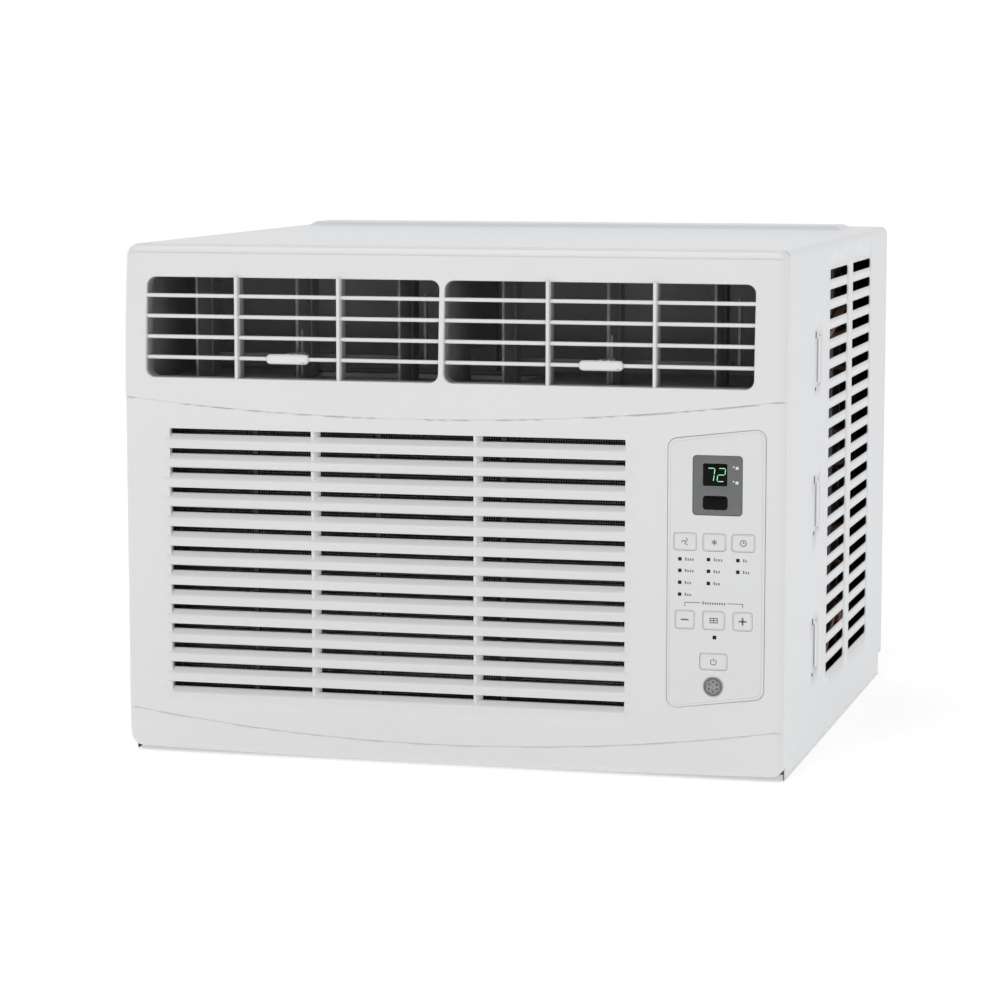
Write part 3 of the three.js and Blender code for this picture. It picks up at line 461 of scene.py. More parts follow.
def smooth(t):
    t = min(1.0, max(0.0, t))
    return t * t * (3 - 2 * t)


def louvre_crest(x):
    """Distance from a slot's top down to its louvre's upper edge."""
    out = max(0.0, (SLOT_X[0] - x) / WING)
    return SLOT_HEIGHT - WING_RISE * out * out


def louvre_height(x, z):
    """How far the louvres stand out of the face."""
    top = louvre_top(z)
    if top is None or not SLOT_X[0] - WING <= x <= SLOT_X[1] + RIGHT_FADE:
        return 0.0
    fade = smooth((x - SLOT_X[0] + WING) / WING) * smooth((SLOT_X[1] + RIGHT_FADE - x) / RIGHT_FADE)
    below = top - z - louvre_crest(x)
    if below < -0.01:
        return 0.0
    run = SLOT_PITCH - louvre_crest(x)
    upper, lower = LOUVRE_HEIGHT
    height = upper + (lower - upper) * min(1, below / run)
    for gap, (reach, drop) in ((below, CREST_ROUND), (run - below, TAIL_ROUND)):
        if gap < reach:
            height -= drop * (1 - max(0.0, gap) / reach) ** 2
    return height * fade


GROOVE = (-1.1, 0, 0.4)     # lower edge, bottom and upper edge of the crease's groove
GROOVE_DEPTH = 0.95
HEAD_STEP = 1.0             # the part above the upper crease stands out this far
HEAD_SWEEP = 6.5            # and curves back this far on its way up
FOOT_STEP = 0.3             # the part under the lower crease lies back this far
FOOT_SWEEP = 1.2            # and curves back this far over FOOT_RUN
FOOT_RUN = 20


def groove(t):
    """Depth of the crease's groove at height t above its bottom: steep above, shallow below."""
    reach = GROOVE[2] if t > 0 else GROOVE[0]
    return GROOVE_DEPTH * max(0.0, 1 - t / reach)


def front_y(x, z):
    """How deep the panel's front lies at a point."""
    over = z - upper_crease(x)
    under = lower_crease(x) - z
    y = FACE_Y
    if over > 0:
        share = min(1, over / (BEVEL_TOP - upper_crease(x)))
        y -= HEAD_STEP - HEAD_SWEEP * share ** 2
    if under > 0:
        y += FOOT_STEP + FOOT_SWEEP * (under / FOOT_RUN) ** 2
    return y + groove(over) + groove(-under) - louvre_height(x, z)


CONTROL_X = (150.5, 215.5)
CONTROL_BOTTOM = (48.2, 56.8)     # heights of the control panel's lower edge, left and right
CONTROL_TOP = (227.1, 234.9)
CONTROL_CORNER = 6.5


def control_outline(margin):
    left, right = grown(CONTROL_X, margin)
    corners = [(left, CONTROL_BOTTOM[0] - margin), (right, CONTROL_BOTTOM[1] - margin)]
    corners += [(right, CONTROL_TOP[1] + margin), (left, CONTROL_TOP[0] + margin)]
    return divided(rounded(corners, CONTROL_CORNER + margin, 8), 6)


MOUTH_Z = grown(span("air_filter", Z), 0.4)     # the air filter slides out here, through the left wall
MOUTH_Y = FACE_Y + 5.6
MOUTH_STEP = 0.05
SKIN_BOTTOM = 7.9                               # lower edge of the front skin at the middle
SAG = 2.0                                       # it climbs this far towards both ends
BOTTOM_POINTS = 23


def panel_outline():
    """The front skin's edge: the bottom sags a little, and the corners are round."""
    left, right = grown(PANEL_X, -EDGE_INSET)
    bottom = [(x, SKIN_BOTTOM + SAG * (x / right) ** 2) for x in np.linspace(left, right, BOTTOM_POINTS)]
    right_z, left_z = ([crease(x) + t for crease in (lower_crease, upper_crease) for t in GROOVE]
                       for x in (right, left))
    corners = bottom + [(right, z) for z in right_z]
    top = len(corners)
    corners += [(right, BEVEL_TOP + 0.5), (left, BEVEL_TOP + 0.5)]
    left_z += [z + step for z in MOUTH_Z for step in (-MOUTH_STEP, MOUTH_STEP)]
    corners += [(left, z) for z in sorted(left_z, reverse=True)]
    return divided(rounded_corners(corners, {0: 3, BOTTOM_POINTS - 1: 3, top: 2, top + 1: 2}), 5)


def rounded_corners(corners, radii):
    """Rounds only the named corners of an outline."""
    out = []
    for i, corner in enumerate(corners):
        if i not in radii:
            out.append(corner)
            continue
        near = [corners[i - 1], corner, corners[(i + 1) % len(corners)]]
        out += rounded(near, radii[i], 5)[6:12]
    return out


# How far out and how far back the panel's rounded edge runs, at the sides and at the top.
SIDE_PROFILE = [(EDGE_INSET * math.sin(a), EDGE_INSET * (1 - math.cos(a)))
                for a in np.linspace(0, math.pi / 2, 8)]
TOP_PROFILE = [(0, 0), (0.3, 0.9), (0.9, 1.7), (3.6, 2.3), (4.6, 2.7), (5.4, 3.6), (5.85, 4.8), (6, 6.2)]


def wall_end(x, z):
    """How far back the panel's outer wall runs: it stops short at the filter's mouth."""
    return MOUTH_Y if x < 0 and MOUTH_Z[0] < z < MOUTH_Z[1] else PANEL_BACK_Y


def outer_return(solid, outline):
    """From the front skin round the edge to the panel's back."""
    normals = normals_of(outline)
    rings = []
    for side, top in zip(SIDE_PROFILE, TOP_PROFILE):
        ring = []
        for (x, z), (nx, nz) in zip(outline, normals):
            share = smooth(max(0.0, nz) * 2 - 0.9)
            out = side[0] + (top[0] - side[0]) * share
            back = side[1] + (top[1] - side[1]) * share
            y = min(front_y(x, z) + back, wall_end(x, z))
            ring.append((x + nx * out, y, z + nz * out))
        rings.append(ring)
    rings.append([(x, wall_end(x, z), z) for x, y, z in rings[-1]])
    solid.rings(rings)


LIP = 1.3
COLLAR_Y = (FACE_Y + 6, FACE_Y + 14)
RIB_HALF = 1.25
THROAT_Y = FACE_Y + 3.5           # where an intake slot's sloping lower side ends
INTAKE_BACK_Y = FACE_Y + 5.4


def lip_and_wall(solid, hole, radius, back_y, steps=5):
    """A rounded lip round an opening, and its wall. hole is the skin's edge, radius outside the wall."""
    rings = []
    normals = normals_of(hole)
    for k in range(steps + 1):
        turn = math.pi / 2 * k / steps
        inward = radius * math.sin(turn)
        back = radius * (1 - math.cos(turn))
        rings.append([(x - nx * inward, front_y(x, z) + back, z - nz * inward)
                      for (x, z), (nx, nz) in zip(hole, normals)])
    rings.append([(x, back_y, z) for x, _, z in rings[-1]])
    solid.rings(rings)


def slot_throat(solid, hole, top):
    """Behind an intake slot its lower side slopes up and back, and its upper side runs straight back."""
    front = [(x, front_y(x, z), z) for x, z in hole]
    back = [(x, THROAT_Y, top + (z - top) * SLOT_GAP / SLOT_HEIGHT) for x, z in hole]
    solid.rings([front, back, [(x, INTAKE_BACK_Y, z) for x, _, z in back]])


def intake_rib(solid, x, top):
    """A rib across one slot: narrow in front, and wider to the right behind."""
    front, back = FACE_Y + 0.3, INTAKE_BACK_Y
    lip = front + 0.4
    section = [(-1.7, back), (-1.3, lip), (-1.0, front), (0.7, front), (1.1, lip), (4.2, back)]
    heights = (top - SLOT_HEIGHT - 0.3, top + 0.4)
    solid.rings([[(x + a, b, z) for a, b in section] for z in heights], caps=True)


def outlet_hole(side, margin):
    x, z = grown(OUTLETS[side], margin), grown(OUTLET_Z, margin)
    return divided(rectangle(x, z, OUTLET_CORNER + margin), 6)


SLOT_TOPS = [SLOT_TOP - row * SLOT_PITCH for row in range(SLOT_COUNT)]


def relief_lines():
    """Lines along which the front skin bends: both creases, and the edges of the louvres."""
    xs = np.linspace(*grown(PANEL_X, -EDGE_INSET - 0.4), 90)
    lines = [[(x, crease(x) + t) for x in xs] for crease in (upper_crease, lower_crease) for t in GROOVE]
    wing_xs = np.linspace(SLOT_X[0] - WING + 0.2, SLOT_X[0] - 0.8, 8)
    face_xs = np.linspace(*grown(SLOT_X, 0.8), 40)
    for top in SLOT_TOPS:
        lines.append([(x, top - louvre_crest(x) + 0.05) for x in wing_xs])
        for down in (0.7, 1.3, 2.1):
            lines.append([(x, top - louvre_crest(x) - down) for x in wing_xs])
            lines.append([(x, top - SLOT_HEIGHT - down) for x in face_xs])
        lines += [[(x, top - SLOT_PITCH + 0.75) for x in run] for run in (face_xs, wing_xs)]
    return lines


def build_front_panel():
    outline = panel_outline()
    outlets = [outlet_hole(side, LIP) for side in SIDES]
    slots = [divided(rectangle(SLOT_X, (top - SLOT_HEIGHT, top), 0.6, 3), 8) for top in SLOT_TOPS]
    fascia_hole = control_outline(0.4)
    holes = [*outlets, *slots, fascia_hole]
    verts, faces = filled(outline, holes, (), relief_lines(), 4)
    solid = Solid()
    solid.add([(x, front_y(x, z), z) for x, z in verts], faces)
    outer_return(solid, outline)
    for hole in outlets:
        lip_and_wall(solid, hole, LIP, COLLAR_Y[0] + 0.2)
    lip_and_wall(solid, fascia_hole, 0.25, FACE_Y + 2.2, 3)
    for hole, top in zip(slots, SLOT_TOPS):
        slot_throat(solid, hole, top)
    panel = make("front_panel_moulding", solid, "white_plastic", "housing",
                 smooth=25, facing=(0, -1, 0))
    thicken(panel, 1.4)
    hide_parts("front_panel")


def outlet_rib(solid, x, front, back):
    """A rib that carries the outlet blades, with a round nose when it starts at the face."""
    section = [(x + RIB_HALF, back), (x - RIB_HALF, back)]
    if front < COLLAR_Y[0]:
        nose = np.linspace(math.pi, 2 * math.pi, 9)
        section += [(x + RIB_HALF * math.cos(a), front + RIB_HALF * (1 + math.sin(a))) for a in nose]
    else:
        section += [(x - RIB_HALF, front), (x + RIB_HALF, front)]
    solid.rings([[(a, b, z) for a, b in section] for z in grown(OUTLET_Z, 0.8)], caps=True)


def build_panel_ribs():
    """The ribs across the intake slots, and the front of the ribs that carry the outlet blades."""
    solid = Solid()
    for x in INTAKE_RIBS:
        for top in SLOT_TOPS:
            intake_rib(solid, x, top)
    for side in SIDES:
        for way in (-1, 1):
            outlet_rib(solid, bank_middle(side) + way * BAY / 2, FACE_Y + 0.2, COLLAR_Y[0])
    make("front_panel_ribs", solid, "white_plastic", "housing")


def build_outlet_collars():
    """The inner frames of the outlets and the rear of their blade ribs, behind the white lips and ribs: dark
    grey as painted shade for the deep, unlit part of each opening.
    """
    solid = Solid()
    for side in SIDES:
        near, far = COLLAR_Y
        inner, outer = outlet_hole(side, 0), outlet_hole(side, 1.3)
        corners = ((inner, near), (inner, far), (outer, far), (outer, near), (inner, near))
        solid.rings([[(x, y, z) for x, z in ring] for ring, y in corners])
        # The rear part of each blade rib, in the same grey: painted shade on the rib's sides deep in the
        # outlet.
        for way in (-1, 1):
            outlet_rib(solid, bank_middle(side) + way * BAY / 2, near + 0.02, far)
    make("outlet_collars_painted_shade", solid, "duct_plastic_and_shade", "housing")


# ---------------------------------------------------------------- controls
BUTTON_NAMES = ("fan", "mode", "delay", "minus", "filter", "plus", "power")
CAP_Y = FACE_Y - 0.5


def button_rectangle(name, margin=0.0):
    """A button's outline, taken from its packed cap."""
    node = f"{name}_button"
    x, z = grown(span(node, X), margin), grown(span(node, Z), margin)
    return rectangle(x, z, 2 + margin, 5)


def about(centre, half):
    return centre - half, centre + half


def bar(u, v, width, height):
    return rectangle(about(u, width / 2), about(v, height / 2), min(width, height) * 0.15, 3)


def stroke(points, width):
    """The outline of a line of even width through the points."""
    path = np.array(points, float)
    ahead = np.gradient(path, axis=0)
    ahead /= np.linalg.norm(ahead, axis=1)[:, None]
    across = np.stack([ahead[:, 1], -ahead[:, 0]], axis=1) * width / 2
    return [tuple(p) for p in path + across] + [tuple(p) for p in (path - across)[::-1]]


def arc(u, v, radius, start, end, steps=14):
    turns = np.radians(np.linspace(start, end, steps))
    return [(u + radius * math.cos(a), v + radius * math.sin(a)) for a in turns]


def print_mark(solid, outline, y, lift=0.05, depth=0.3):
    """A thin printed mark that stands a hair proud of the surface at depth y."""
    first = len(solid.points)
    count = len(outline)
    for h in (y - lift, y + depth):
        solid.points.extend((u, h, v) for u, v in outline)
    for k in range(count):
        n = (k + 1) % count
        solid.faces.append((first + k, first + n, first + count + n, first + count + k))
    verts, faces = filled(outline, step=50)
    solid.add([(u, y - lift, v) for u, v in verts], faces)
    solid.add([(u, y + depth, v) for u, v in verts], [f[::-1] for f in faces])


def icon_strokes(name, u, v):
    """Plain pictograms in place of words."""
    line = 0.55
    if name == "fan":
        blades = [arc(u + 1.25 * math.cos(a), v + 1.25 * math.sin(a), 1.25, math.degrees(a) + 180,
                      math.degrees(a) + 330, 9) for a in np.radians((90, 210, 330))]
        return [stroke(b, line) for b in blades]
    if name == "mode":
        spokes = [[(u - 2 * math.cos(a), v - 2 * math.sin(a)), (u + 2 * math.cos(a), v + 2 * math.sin(a))]
                  for a in np.radians((30, 90, 150))]
        return [stroke(s, line) for s in spokes]
    if name == "delay":
        return [stroke(arc(u, v, 2, 90, 445, 26), line), stroke([(u, v + 1.3), (u, v - 0.1)], line),
                stroke([(u - 0.1, v), (u + 1, v)], line)]
    if name == "filter":
        rows = [[(u - 2.6, v + h), (u + 2.6, v + h)] for h in (-1.5, 0, 1.5)]
        posts = [[(u + w, v - 1.7), (u + w, v + 1.7)] for w in (-2.4, 0, 2.4)]
        return [stroke(s, line) for s in rows + posts]
    if name == "power":
        return [stroke(arc(u, v - 0.2, 1.9, 125, 415, 22), line), stroke([(u, v + 0.2), (u, v + 2.2)], line)]
    level = [stroke([(u - 2.6, v), (u + 2.6, v)], 1.05)]
    if name == "plus":
        level.append(stroke([(u, v - 2.6), (u, v + 2.6)], 1.05))
    return level


def build_buttons():
    for name in BUTTON_NAMES:
        node = f"{name}_button"
        solid = Solid()
        solid.slab(divided(button_rectangle(name), 3), (), facing_front, CAP_Y, FACE_Y + 3, 0.55, 3)
        u, v = middle(node, X), middle(node, Z)
        stem = circle(u, v, 1.8, 16)
        solid.rings([[(a, y, b) for a, b in stem] for y in (FACE_Y + 2.8, span(node, Y)[1])], caps=True)
        cap = make(f"{node}_cap", solid, "button_plastic", node)
        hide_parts(node)
        marks = Solid()
        for outline in icon_strokes(name, u, v):
            print_mark(marks, outline, CAP_Y)
        make(f"{node}_print", marks, "print_gray", node)
        # A grey ring just inside the cap's edge: painted shade of the thin gap round the button.
        border = Solid()
        edge = button_rectangle(name, -0.6)
        inner = button_rectangle(name, -0.9)
        sections = ((edge, -0.04), (inner, -0.04), (inner, 0.2), (edge, 0.2), (edge, -0.04))
        border.rings([[(a, CAP_Y + h, b) for a, b in ring] for ring, h in sections])
        make(f"{node}_border", border, "gap_shade_grey", node)


FASCIA_Y = FACE_Y - 0.4
DISPLAY_X = (167.2, 200.1)
DISPLAY_Z = (177.5, 216.7)
DISPLAY_Y = FACE_Y - 0.2
LED_WINDOW = ((173.9, 189.9), (196.8, 211.4))
RECEIVER = ((173.9, 190.3), (181.1, 190.2))


def build_fascia():
    face = FASCIA_Y
    outline = control_outline(-0.1)
    holes = [divided(button_rectangle(name, 0.16), 3) for name in BUTTON_NAMES]
    holes.append(divided(rectangle(grown(DISPLAY_X, 0.2), grown(DISPLAY_Z, 0.2), 2.7, 5), 4))
    groove_line = control_outline(-1.9)
    inner, outer = offset(groove_line, -0.22), offset(groove_line, 0.22)
    verts, faces = filled(outline, holes, (inner, groove_line, outer, offset(outline, -0.4)), (), 6)
    middle_line = np.array(groove_line)
    border = np.array(outline)
    points = []
    for p in verts:
        y = face
        if np.min(np.hypot(*(middle_line - p).T)) < 0.05:
            y += 0.25
        if np.min(np.hypot(*(border - p).T)) < 0.2:
            y += 0.4
        points.append((p[0], y, p[1]))
    solid = Solid()
    back = FACE_Y + 2.1
    solid.add(points, faces)
    solid.add([(x, back, z) for x, y, z in points], [f[::-1] for f in faces])
    solid.rings([[(u, face + 0.4, v) for u, v in outline], [(u, back, v) for u, v in outline]])
    for hole in holes:
        solid.rings([[(u, face, v) for u, v in hole], [(u, back, v) for u, v in hole]])
    plate = make("control_fascia_plate", solid, "fascia", "housing", smooth=28)
    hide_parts("control_fascia")


# Each indicator's place, and how many ticks stand for its word.
LIGHTS = (
    (159.0, 148.1, 4), (159.0, 140.5, 4), (159.0, 132.6, 3), (159.0, 124.7, 3),
    (178.1, 148.3, 4), (178.1, 140.5, 3), (178.1, 132.5, 3),
    (197.6, 148.3, 2), (197.6, 140.6, 3),
)
LIGHT = 2.3
FILTER_LIGHT = (182.5, 96.8)
BRACKET_Z = 119.5
BRACKET_LINE = 0.45


def ticks(solid, u, v, count, face):
    """A row of small ticks, the first one taller."""
    for k in range(count):
        tall = 2.1 if k == 0 else 1.5
        print_mark(solid, bar(u + k * 1.6, v - 1.05 + tall / 2, 0.85, tall), face)


def build_indicators():
    """Indicator squares, rows of ticks in place of words, and the bracket over the lower buttons."""
    black, grey = Solid(), Solid()
    for u, v, count in LIGHTS:
        print_mark(black, bar(u, v, LIGHT, LIGHT), FASCIA_Y, 0.12)
        ticks(grey, u + 3.9, v, count, FASCIA_Y)
    print_mark(black, bar(*FILTER_LIGHT, 2.5, 2.5), FASCIA_Y, 0.12)
    centre = middle("filter_button", X)
    for name, end in (("minus_button", centre - 9), ("plus_button", centre + 9)):
        start = middle(name, X)
        across = [(start, BRACKET_Z), (end, BRACKET_Z)]
        down = [(start, BRACKET_Z + 0.2), (start, BRACKET_Z - 2.6)]
        for path in (across, down):
            print_mark(grey, stroke(path, BRACKET_LINE), FASCIA_Y)
    ticks(grey, centre - 7.2, BRACKET_Z, 10, FASCIA_Y)
    make("indicator_lights", black, "dark_print_and_shade", "housing")
    make("panel_print", grey, "print_gray", "housing")


SEGMENTS = {"7": "abc", "2": "abged"}


def digit_strokes(character, u, v, width, height):
    """A seven-segment figure, leaning a little to the right."""
    lean, gap, line = 0.12, 0.3, 0.46
    w, h = width / 2, height / 2
    ends = {
        "a": ((-w, h), (w, h)), "g": ((-w, 0), (w, 0)), "d": ((-w, -h), (w, -h)),
        "b": ((w, h), (w, 0)), "c": ((w, 0), (w, -h)), "e": ((-w, 0), (-w, -h)),
    }
    out = []
    for name in SEGMENTS[character]:
        a, b = (Vector(p) for p in ends[name])
        along = (b - a).normalized()
        across = Vector((along.y, -along.x)) * line / 2
        a, b = a + along * gap, b - along * gap
        tip = along * line / 2
        shape = [a, a + tip + across, b - tip + across, b, b - tip - across, a + tip - across]
        out.append([(u + p.x + p.y * lean, v + p.y) for p in shape])
    return out


def build_display():
    bezel = Solid()
    windows = [divided(rectangle(*LED_WINDOW, 1.0, 4), 4), divided(rectangle(*RECEIVER, 2.2, 5), 4)]
    outline = divided(rectangle(DISPLAY_X, DISPLAY_Z, 2.5, 6), 4)
    bezel.slab(outline, windows, facing_front, DISPLAY_Y, FACE_Y + 6, 0.5, 5)
    plate = make("display_bezel", bezel, "display_bezel", "housing")
    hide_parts("display_window")
    lens = Solid()
    for window in (rectangle(*LED_WINDOW, 1.0, 4), rectangle(*RECEIVER, 2.2, 5)):
        lens.slab(divided(offset(window, -0.05), 4), (), facing_front, DISPLAY_Y + 0.5, FACE_Y + 5, 0.3, 5)
    make("display_lens", lens, "black_lens", "housing")
    digits = Solid()
    centre_x, centre_z = sum(LED_WINDOW[0]) / 2, sum(LED_WINDOW[1]) / 2
    for character, shift in (("7", -3.0), ("2", 4.1)):
        for outline in digit_strokes(character, centre_x + shift, centre_z, 4.7, 8.6):
            print_mark(digits, outline[::-1], DISPLAY_Y + 0.5)
    make("display_digits", digits, "digit_green", "housing")
    legends = Solid()
    for v in (208.8, 199.2):
        print_mark(legends, circle(194.2, v + 0.8, 0.55, 12), DISPLAY_Y)
        print_mark(legends, bar(196.5, v, 2.0, 1.8), DISPLAY_Y)
    make("display_legends", legends, "white_paint", "housing")


BADGE = (181.8, 64.0)
BADGE_RADIUS = 7.0
BADGE_RIM = ((1, 0.4), (1, -0.25), (0.96, -0.4), (0.9, -0.4), (0.87, -0.1), (0.87, 0.4))


def build_badge():
    """A plain round badge: a bright rim round a darker field with a six-petalled rosette."""
    (u, v), radius, face = BADGE, BADGE_RADIUS, FASCIA_Y
    rim = Solid()
    rim.rings([[(a, face + h, b) for a, b in circle(u, v, radius * share, 48)] for share, h in BADGE_RIM])
    for k in range(6):
        turn = math.radians(60 * k + 30)
        centre = (u + 2.6 * math.cos(turn), v + 2.6 * math.sin(turn))
        print_mark(rim, stroke(arc(*centre, 1.9, 0, 354, 20), 0.42), face - 0.15, 0.12)
    make("round_badge", rim, "badge_metal", "housing")
    field = Solid()
    print_mark(field, circle(u, v, radius * 0.88, 40), face, 0.15)
    make("round_badge_field", field, "print_gray", "housing")


# ---------------------------------------------------------------- outlet: blades, tabs, links and vanes
BLADE_CHORD = 12
BLADE_NOSE = 1.4
ROD_RADIUS = 1.3
RIB_CLEAR = 2.05
LINK_INSET = 12
NOTCH_START = 6.1


def blade_half(v):
    """Half the blade's thickness at distance v behind its rod."""
    if v < 0:
        return math.sqrt(max(0.0, BLADE_NOSE ** 2 - v * v)) * 0.96
    return 1.34 - 0.6 * smooth(v / 6) - (0.35 * smooth((v - 10.6) / 1.4))


def leaf(solid, outline, lines, place, half):
    """A thin plate whose thickness follows half(v) on both sides."""
    verts, faces = filled(outline, (), (), lines, 6)
    solid.add([place(u, v, half(v)) for u, v in verts], faces)
    solid.add([place(u, v, -half(v)) for u, v in verts], [f[::-1] for f in faces])
    solid.rings([[place(u, v, half(v)) for u, v in outline], [place(u, v, -half(v)) for u, v in outline]])


def blade_plan(x0, x1, link_x=None):
    """A blade's outline seen from above, with the link bar's notch where it has one."""
    front, back = -BLADE_NOSE, BLADE_CHORD
    if link_x is None:
        return divided(rounded([(x0, front), (x1, front), (x1, back), (x0, back)], 0.5, 3), 12)
    left, right = link_x - 1.8, link_x + 1.8
    corners = [(x0, front), (x1, front), (x1, back), (right, back), (right, NOTCH_START), (left, NOTCH_START),
               (left, back), (x0, back)]
    return divided(rounded(corners, 0.5, 3), 12)


def build_blade(side, number):
    node = f"{side}_blade_{number}"
    rod_z = middle(node, Z)
    outlet = OUTLETS[side]
    centre = bank_middle(side)
    ribs = (centre - BAY / 2, centre + BAY / 2)
    bays = [(outlet[0] + 0.8, ribs[0] - RIB_CLEAR), (ribs[0] + RIB_CLEAR, ribs[1] - RIB_CLEAR),
            (ribs[1] + RIB_CLEAR, outlet[1] - 0.8)]
    solid = Solid()
    for k, (x0, x1) in enumerate(bays):
        outline = blade_plan(x0, x1, outlet[1] - LINK_INSET if k == 2 else None)
        lines = [[(x0 + 0.6, v), (x1 - 0.6, v)] for v in (-1.32, -1.15, -0.9, -0.5, 0, 1.5, 3, 4.5, 5.8)]
        leaf(solid, outline, lines, lambda u, v, h: (u, BLADE_Y + v, rod_z + h), blade_half)
    ends = grown(outlet, 1.3)
    section = circle(BLADE_Y, rod_z, ROD_RADIUS, 16)
    solid.rings([[(x, a, b) for a, b in section] for x in ends], caps=True)
    pin_x = outlet[1] - LINK_INSET
    pin = circle(BLADE_Y + 9.5, rod_z, 0.7, 10)
    solid.rings([[(x, a, b) for a, b in pin] for x in (pin_x - 2.2, pin_x + 2.2)], caps=True)
    piece = make(f"{node}_moulding", solid, "white_plastic", node, smooth=40)
    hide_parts(node)


TAB_HALF = 15.2
TAB_HEIGHT = 3.35
TAB_CORNER = 3.2


def build_tab(side):
    node = f"{side}_tab"
    centre = bank_middle(side)
    rod_z = middle(f"{side}_blade_1", Z)
    solid = Solid()
    outline = divided(rectangle(about(centre, TAB_HALF), about(rod_z, TAB_HEIGHT), TAB_CORNER, 8), 4)
    solid.slab(outline, (), facing_front, BLADE_Y - 4, BLADE_Y - 1.5, 2.3, 3)
    for low, high in ((-2.7, -1.5), (1.5, 2.7)):
        jaw_y = (BLADE_Y - 2.3, BLADE_Y + 8)
        solid.box(about(centre, TAB_HALF - 3), jaw_y, (rod_z + low, rod_z + high))
    back = span(node, Y)[1]
    for x in ((-3.4, -1.9), (1.9, 3.4)):
        solid.box((centre + x[0], centre + x[1]), (BLADE_Y + 6, back), (rod_z + 1.6, rod_z + 3.15))
    piece = make(f"{node}_moulding", solid, "white_plastic", node, smooth=40)
    soften(piece, 0.3, 2, 50)
    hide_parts(node)


def build_outlets():
    for side in SIDES:
        for number in (1, 2, 3, 4):
            build_blade(side, number)
        build_tab(side)


# ---------------------------------------------------------------- air filter
def build_filter():
    x, y, z = (span("air_filter", axis) for axis in (X, Y, Z))
    rim, bar_width, columns, rows = 7, 4, 4, 2
    inner_x, inner_z = grown(x, -rim), grown(z, -rim)
    cell = (inner_x[1] - inner_x[0] - bar_width * (columns - 1)) / columns
    tall = (inner_z[1] - inner_z[0] - bar_width * (rows - 1)) / rows
    holes = []
    for i in range(columns):
        for j in range(rows):
            u, v = inner_x[0] + i * (cell + bar_width), inner_z[0] + j * (tall + bar_width)
            holes.append(divided(rectangle((u, u + cell), (v, v + tall), 3, 4), 12))
    frame_solid = Solid()
    frame_solid.slab(divided(rectangle(x, z, 2.5, 4), 12), holes, facing_front, y[0], y[1], 0.6, 12)
    outer = make("air_filter_frame", frame_solid, "filter_frame", "air_filter")
    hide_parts("air_filter")
    net = Solid()
    pitch, wire = 1.7, 0.26
    for u in np.arange(inner_x[0] - 1, inner_x[1] + 1, pitch):
        net.box((u - wire, u + wire), (y[0] + 1.6, y[0] + 2.1), grown(inner_z, 1))
    for v in np.arange(inner_z[0] - 1, inner_z[1] + 1, pitch):
        net.box(grown(inner_x, 1), (y[0] + 2.0, y[0] + 2.5), (v - wire, v + wire))
    make("air_filter_net", net, "filter_net", "air_filter")


# ---------------------------------------------------------------- cabinet
CABINET_RADIUS = 5
TOP_HALF = CABINET_HALF - CABINET_RADIUS
ARC = CABINET_RADIUS * math.pi / 2
SIDE_TOP = CABINET_TOP - CABINET_RADIUS
CABINET_FOOT = 0.5
SIDE_SLOTS = ((-47.5, 32.5), (57.5, 143.5))
SIDE_SLOT_TOP = 329.8
SIDE_SLOT_PITCH = 13.9
SIDE_SLOT_HEIGHT = 7
SIDE_SLOT_ROWS = 21
STRAP_Y = (-101.5, -90.5)
LANCE_Y = (-109.5, -104)
STRAP_LENGTH = 38.6
STRAP_TOPS = (289.7, 190.4, 91.8)
NOTCH_Y = 216.5
NOTCH_Z = 16.5
RISE_X = (-220, 204)
RISE_Y = (155.5, 202)
RISE_HEIGHT = 2.9
RISE_SLOPE = 6
RISE_FRONT = 5
RISE_REAR = 4
REAR_Y = CABINET_Y[1]


def sheet_s(z):
    """Distance along the bent sheet from the middle of the top to a height on a side."""
    return TOP_HALF + ARC + SIDE_TOP - z


def sheet_point(s, y, lift):
    """The point of the bent sheet at distance s from the middle of the top, lifted off its surface."""
    way = 1 if s >= 0 else -1
    run = abs(s)
    if run <= TOP_HALF:
        return s, y, CABINET_TOP + lift
    if run <= TOP_HALF + ARC:
        turn = (run - TOP_HALF) / CABINET_RADIUS
        reach = CABINET_RADIUS + lift
        return way * (TOP_HALF + reach * math.sin(turn)), y, SIDE_TOP + reach * math.cos(turn)
    return way * (CABINET_HALF + lift), y, SIDE_TOP - (run - TOP_HALF - ARC)


def rise(s, y):
    """The stamped rise near the back of the top: steep in front, sloping at its ends."""
    if abs(s) > TOP_HALF:
        return 0.0
    ends = min(s - RISE_X[0], RISE_X[1] - s) / RISE_SLOPE
    return RISE_HEIGHT * smooth(min(ends, (y - RISE_Y[0]) / RISE_FRONT, (RISE_Y[1] - y) / RISE_REAR))


def slot_outline(low, high, front, rear):
    """A louvre slot: nearly square in front, and rounded at its rear end."""
    corners = [(low, front), (high, front), (high, rear), (low, rear)]
    return rounded_corners(corners, {0: 0.8, 1: 0.8, 2: 3.2, 3: 3.2})


def strap_windows(top):
    """The window under a strap, and the two small notches in front of it: spans in Y and Z."""
    foot = top - STRAP_LENGTH
    return (STRAP_Y, (foot + 2, top - 2)), (LANCE_Y, (top - 4, top + 1)), (LANCE_Y, (foot - 1, foot + 1.5))


def side_openings(way):
    """Louvre slots and strap windows of one side, in the sheet's own coordinates."""
    out = []
    for y0, y1 in SIDE_SLOTS:
        for row in range(SIDE_SLOT_ROWS):
            top = SIDE_SLOT_TOP - row * SIDE_SLOT_PITCH
            s = sorted((way * sheet_s(top), way * sheet_s(top - SIDE_SLOT_HEIGHT)))
            out.append(divided(slot_outline(*s, y0, y1), 12))
    for top in STRAP_TOPS:
        for y, (low, high) in strap_windows(top):
            s = sorted((way * sheet_s(high), way * sheet_s(low)))
            out.append(divided(rectangle(s, y, 0.8, 4), 8))
    return out


SHEET = 0.6


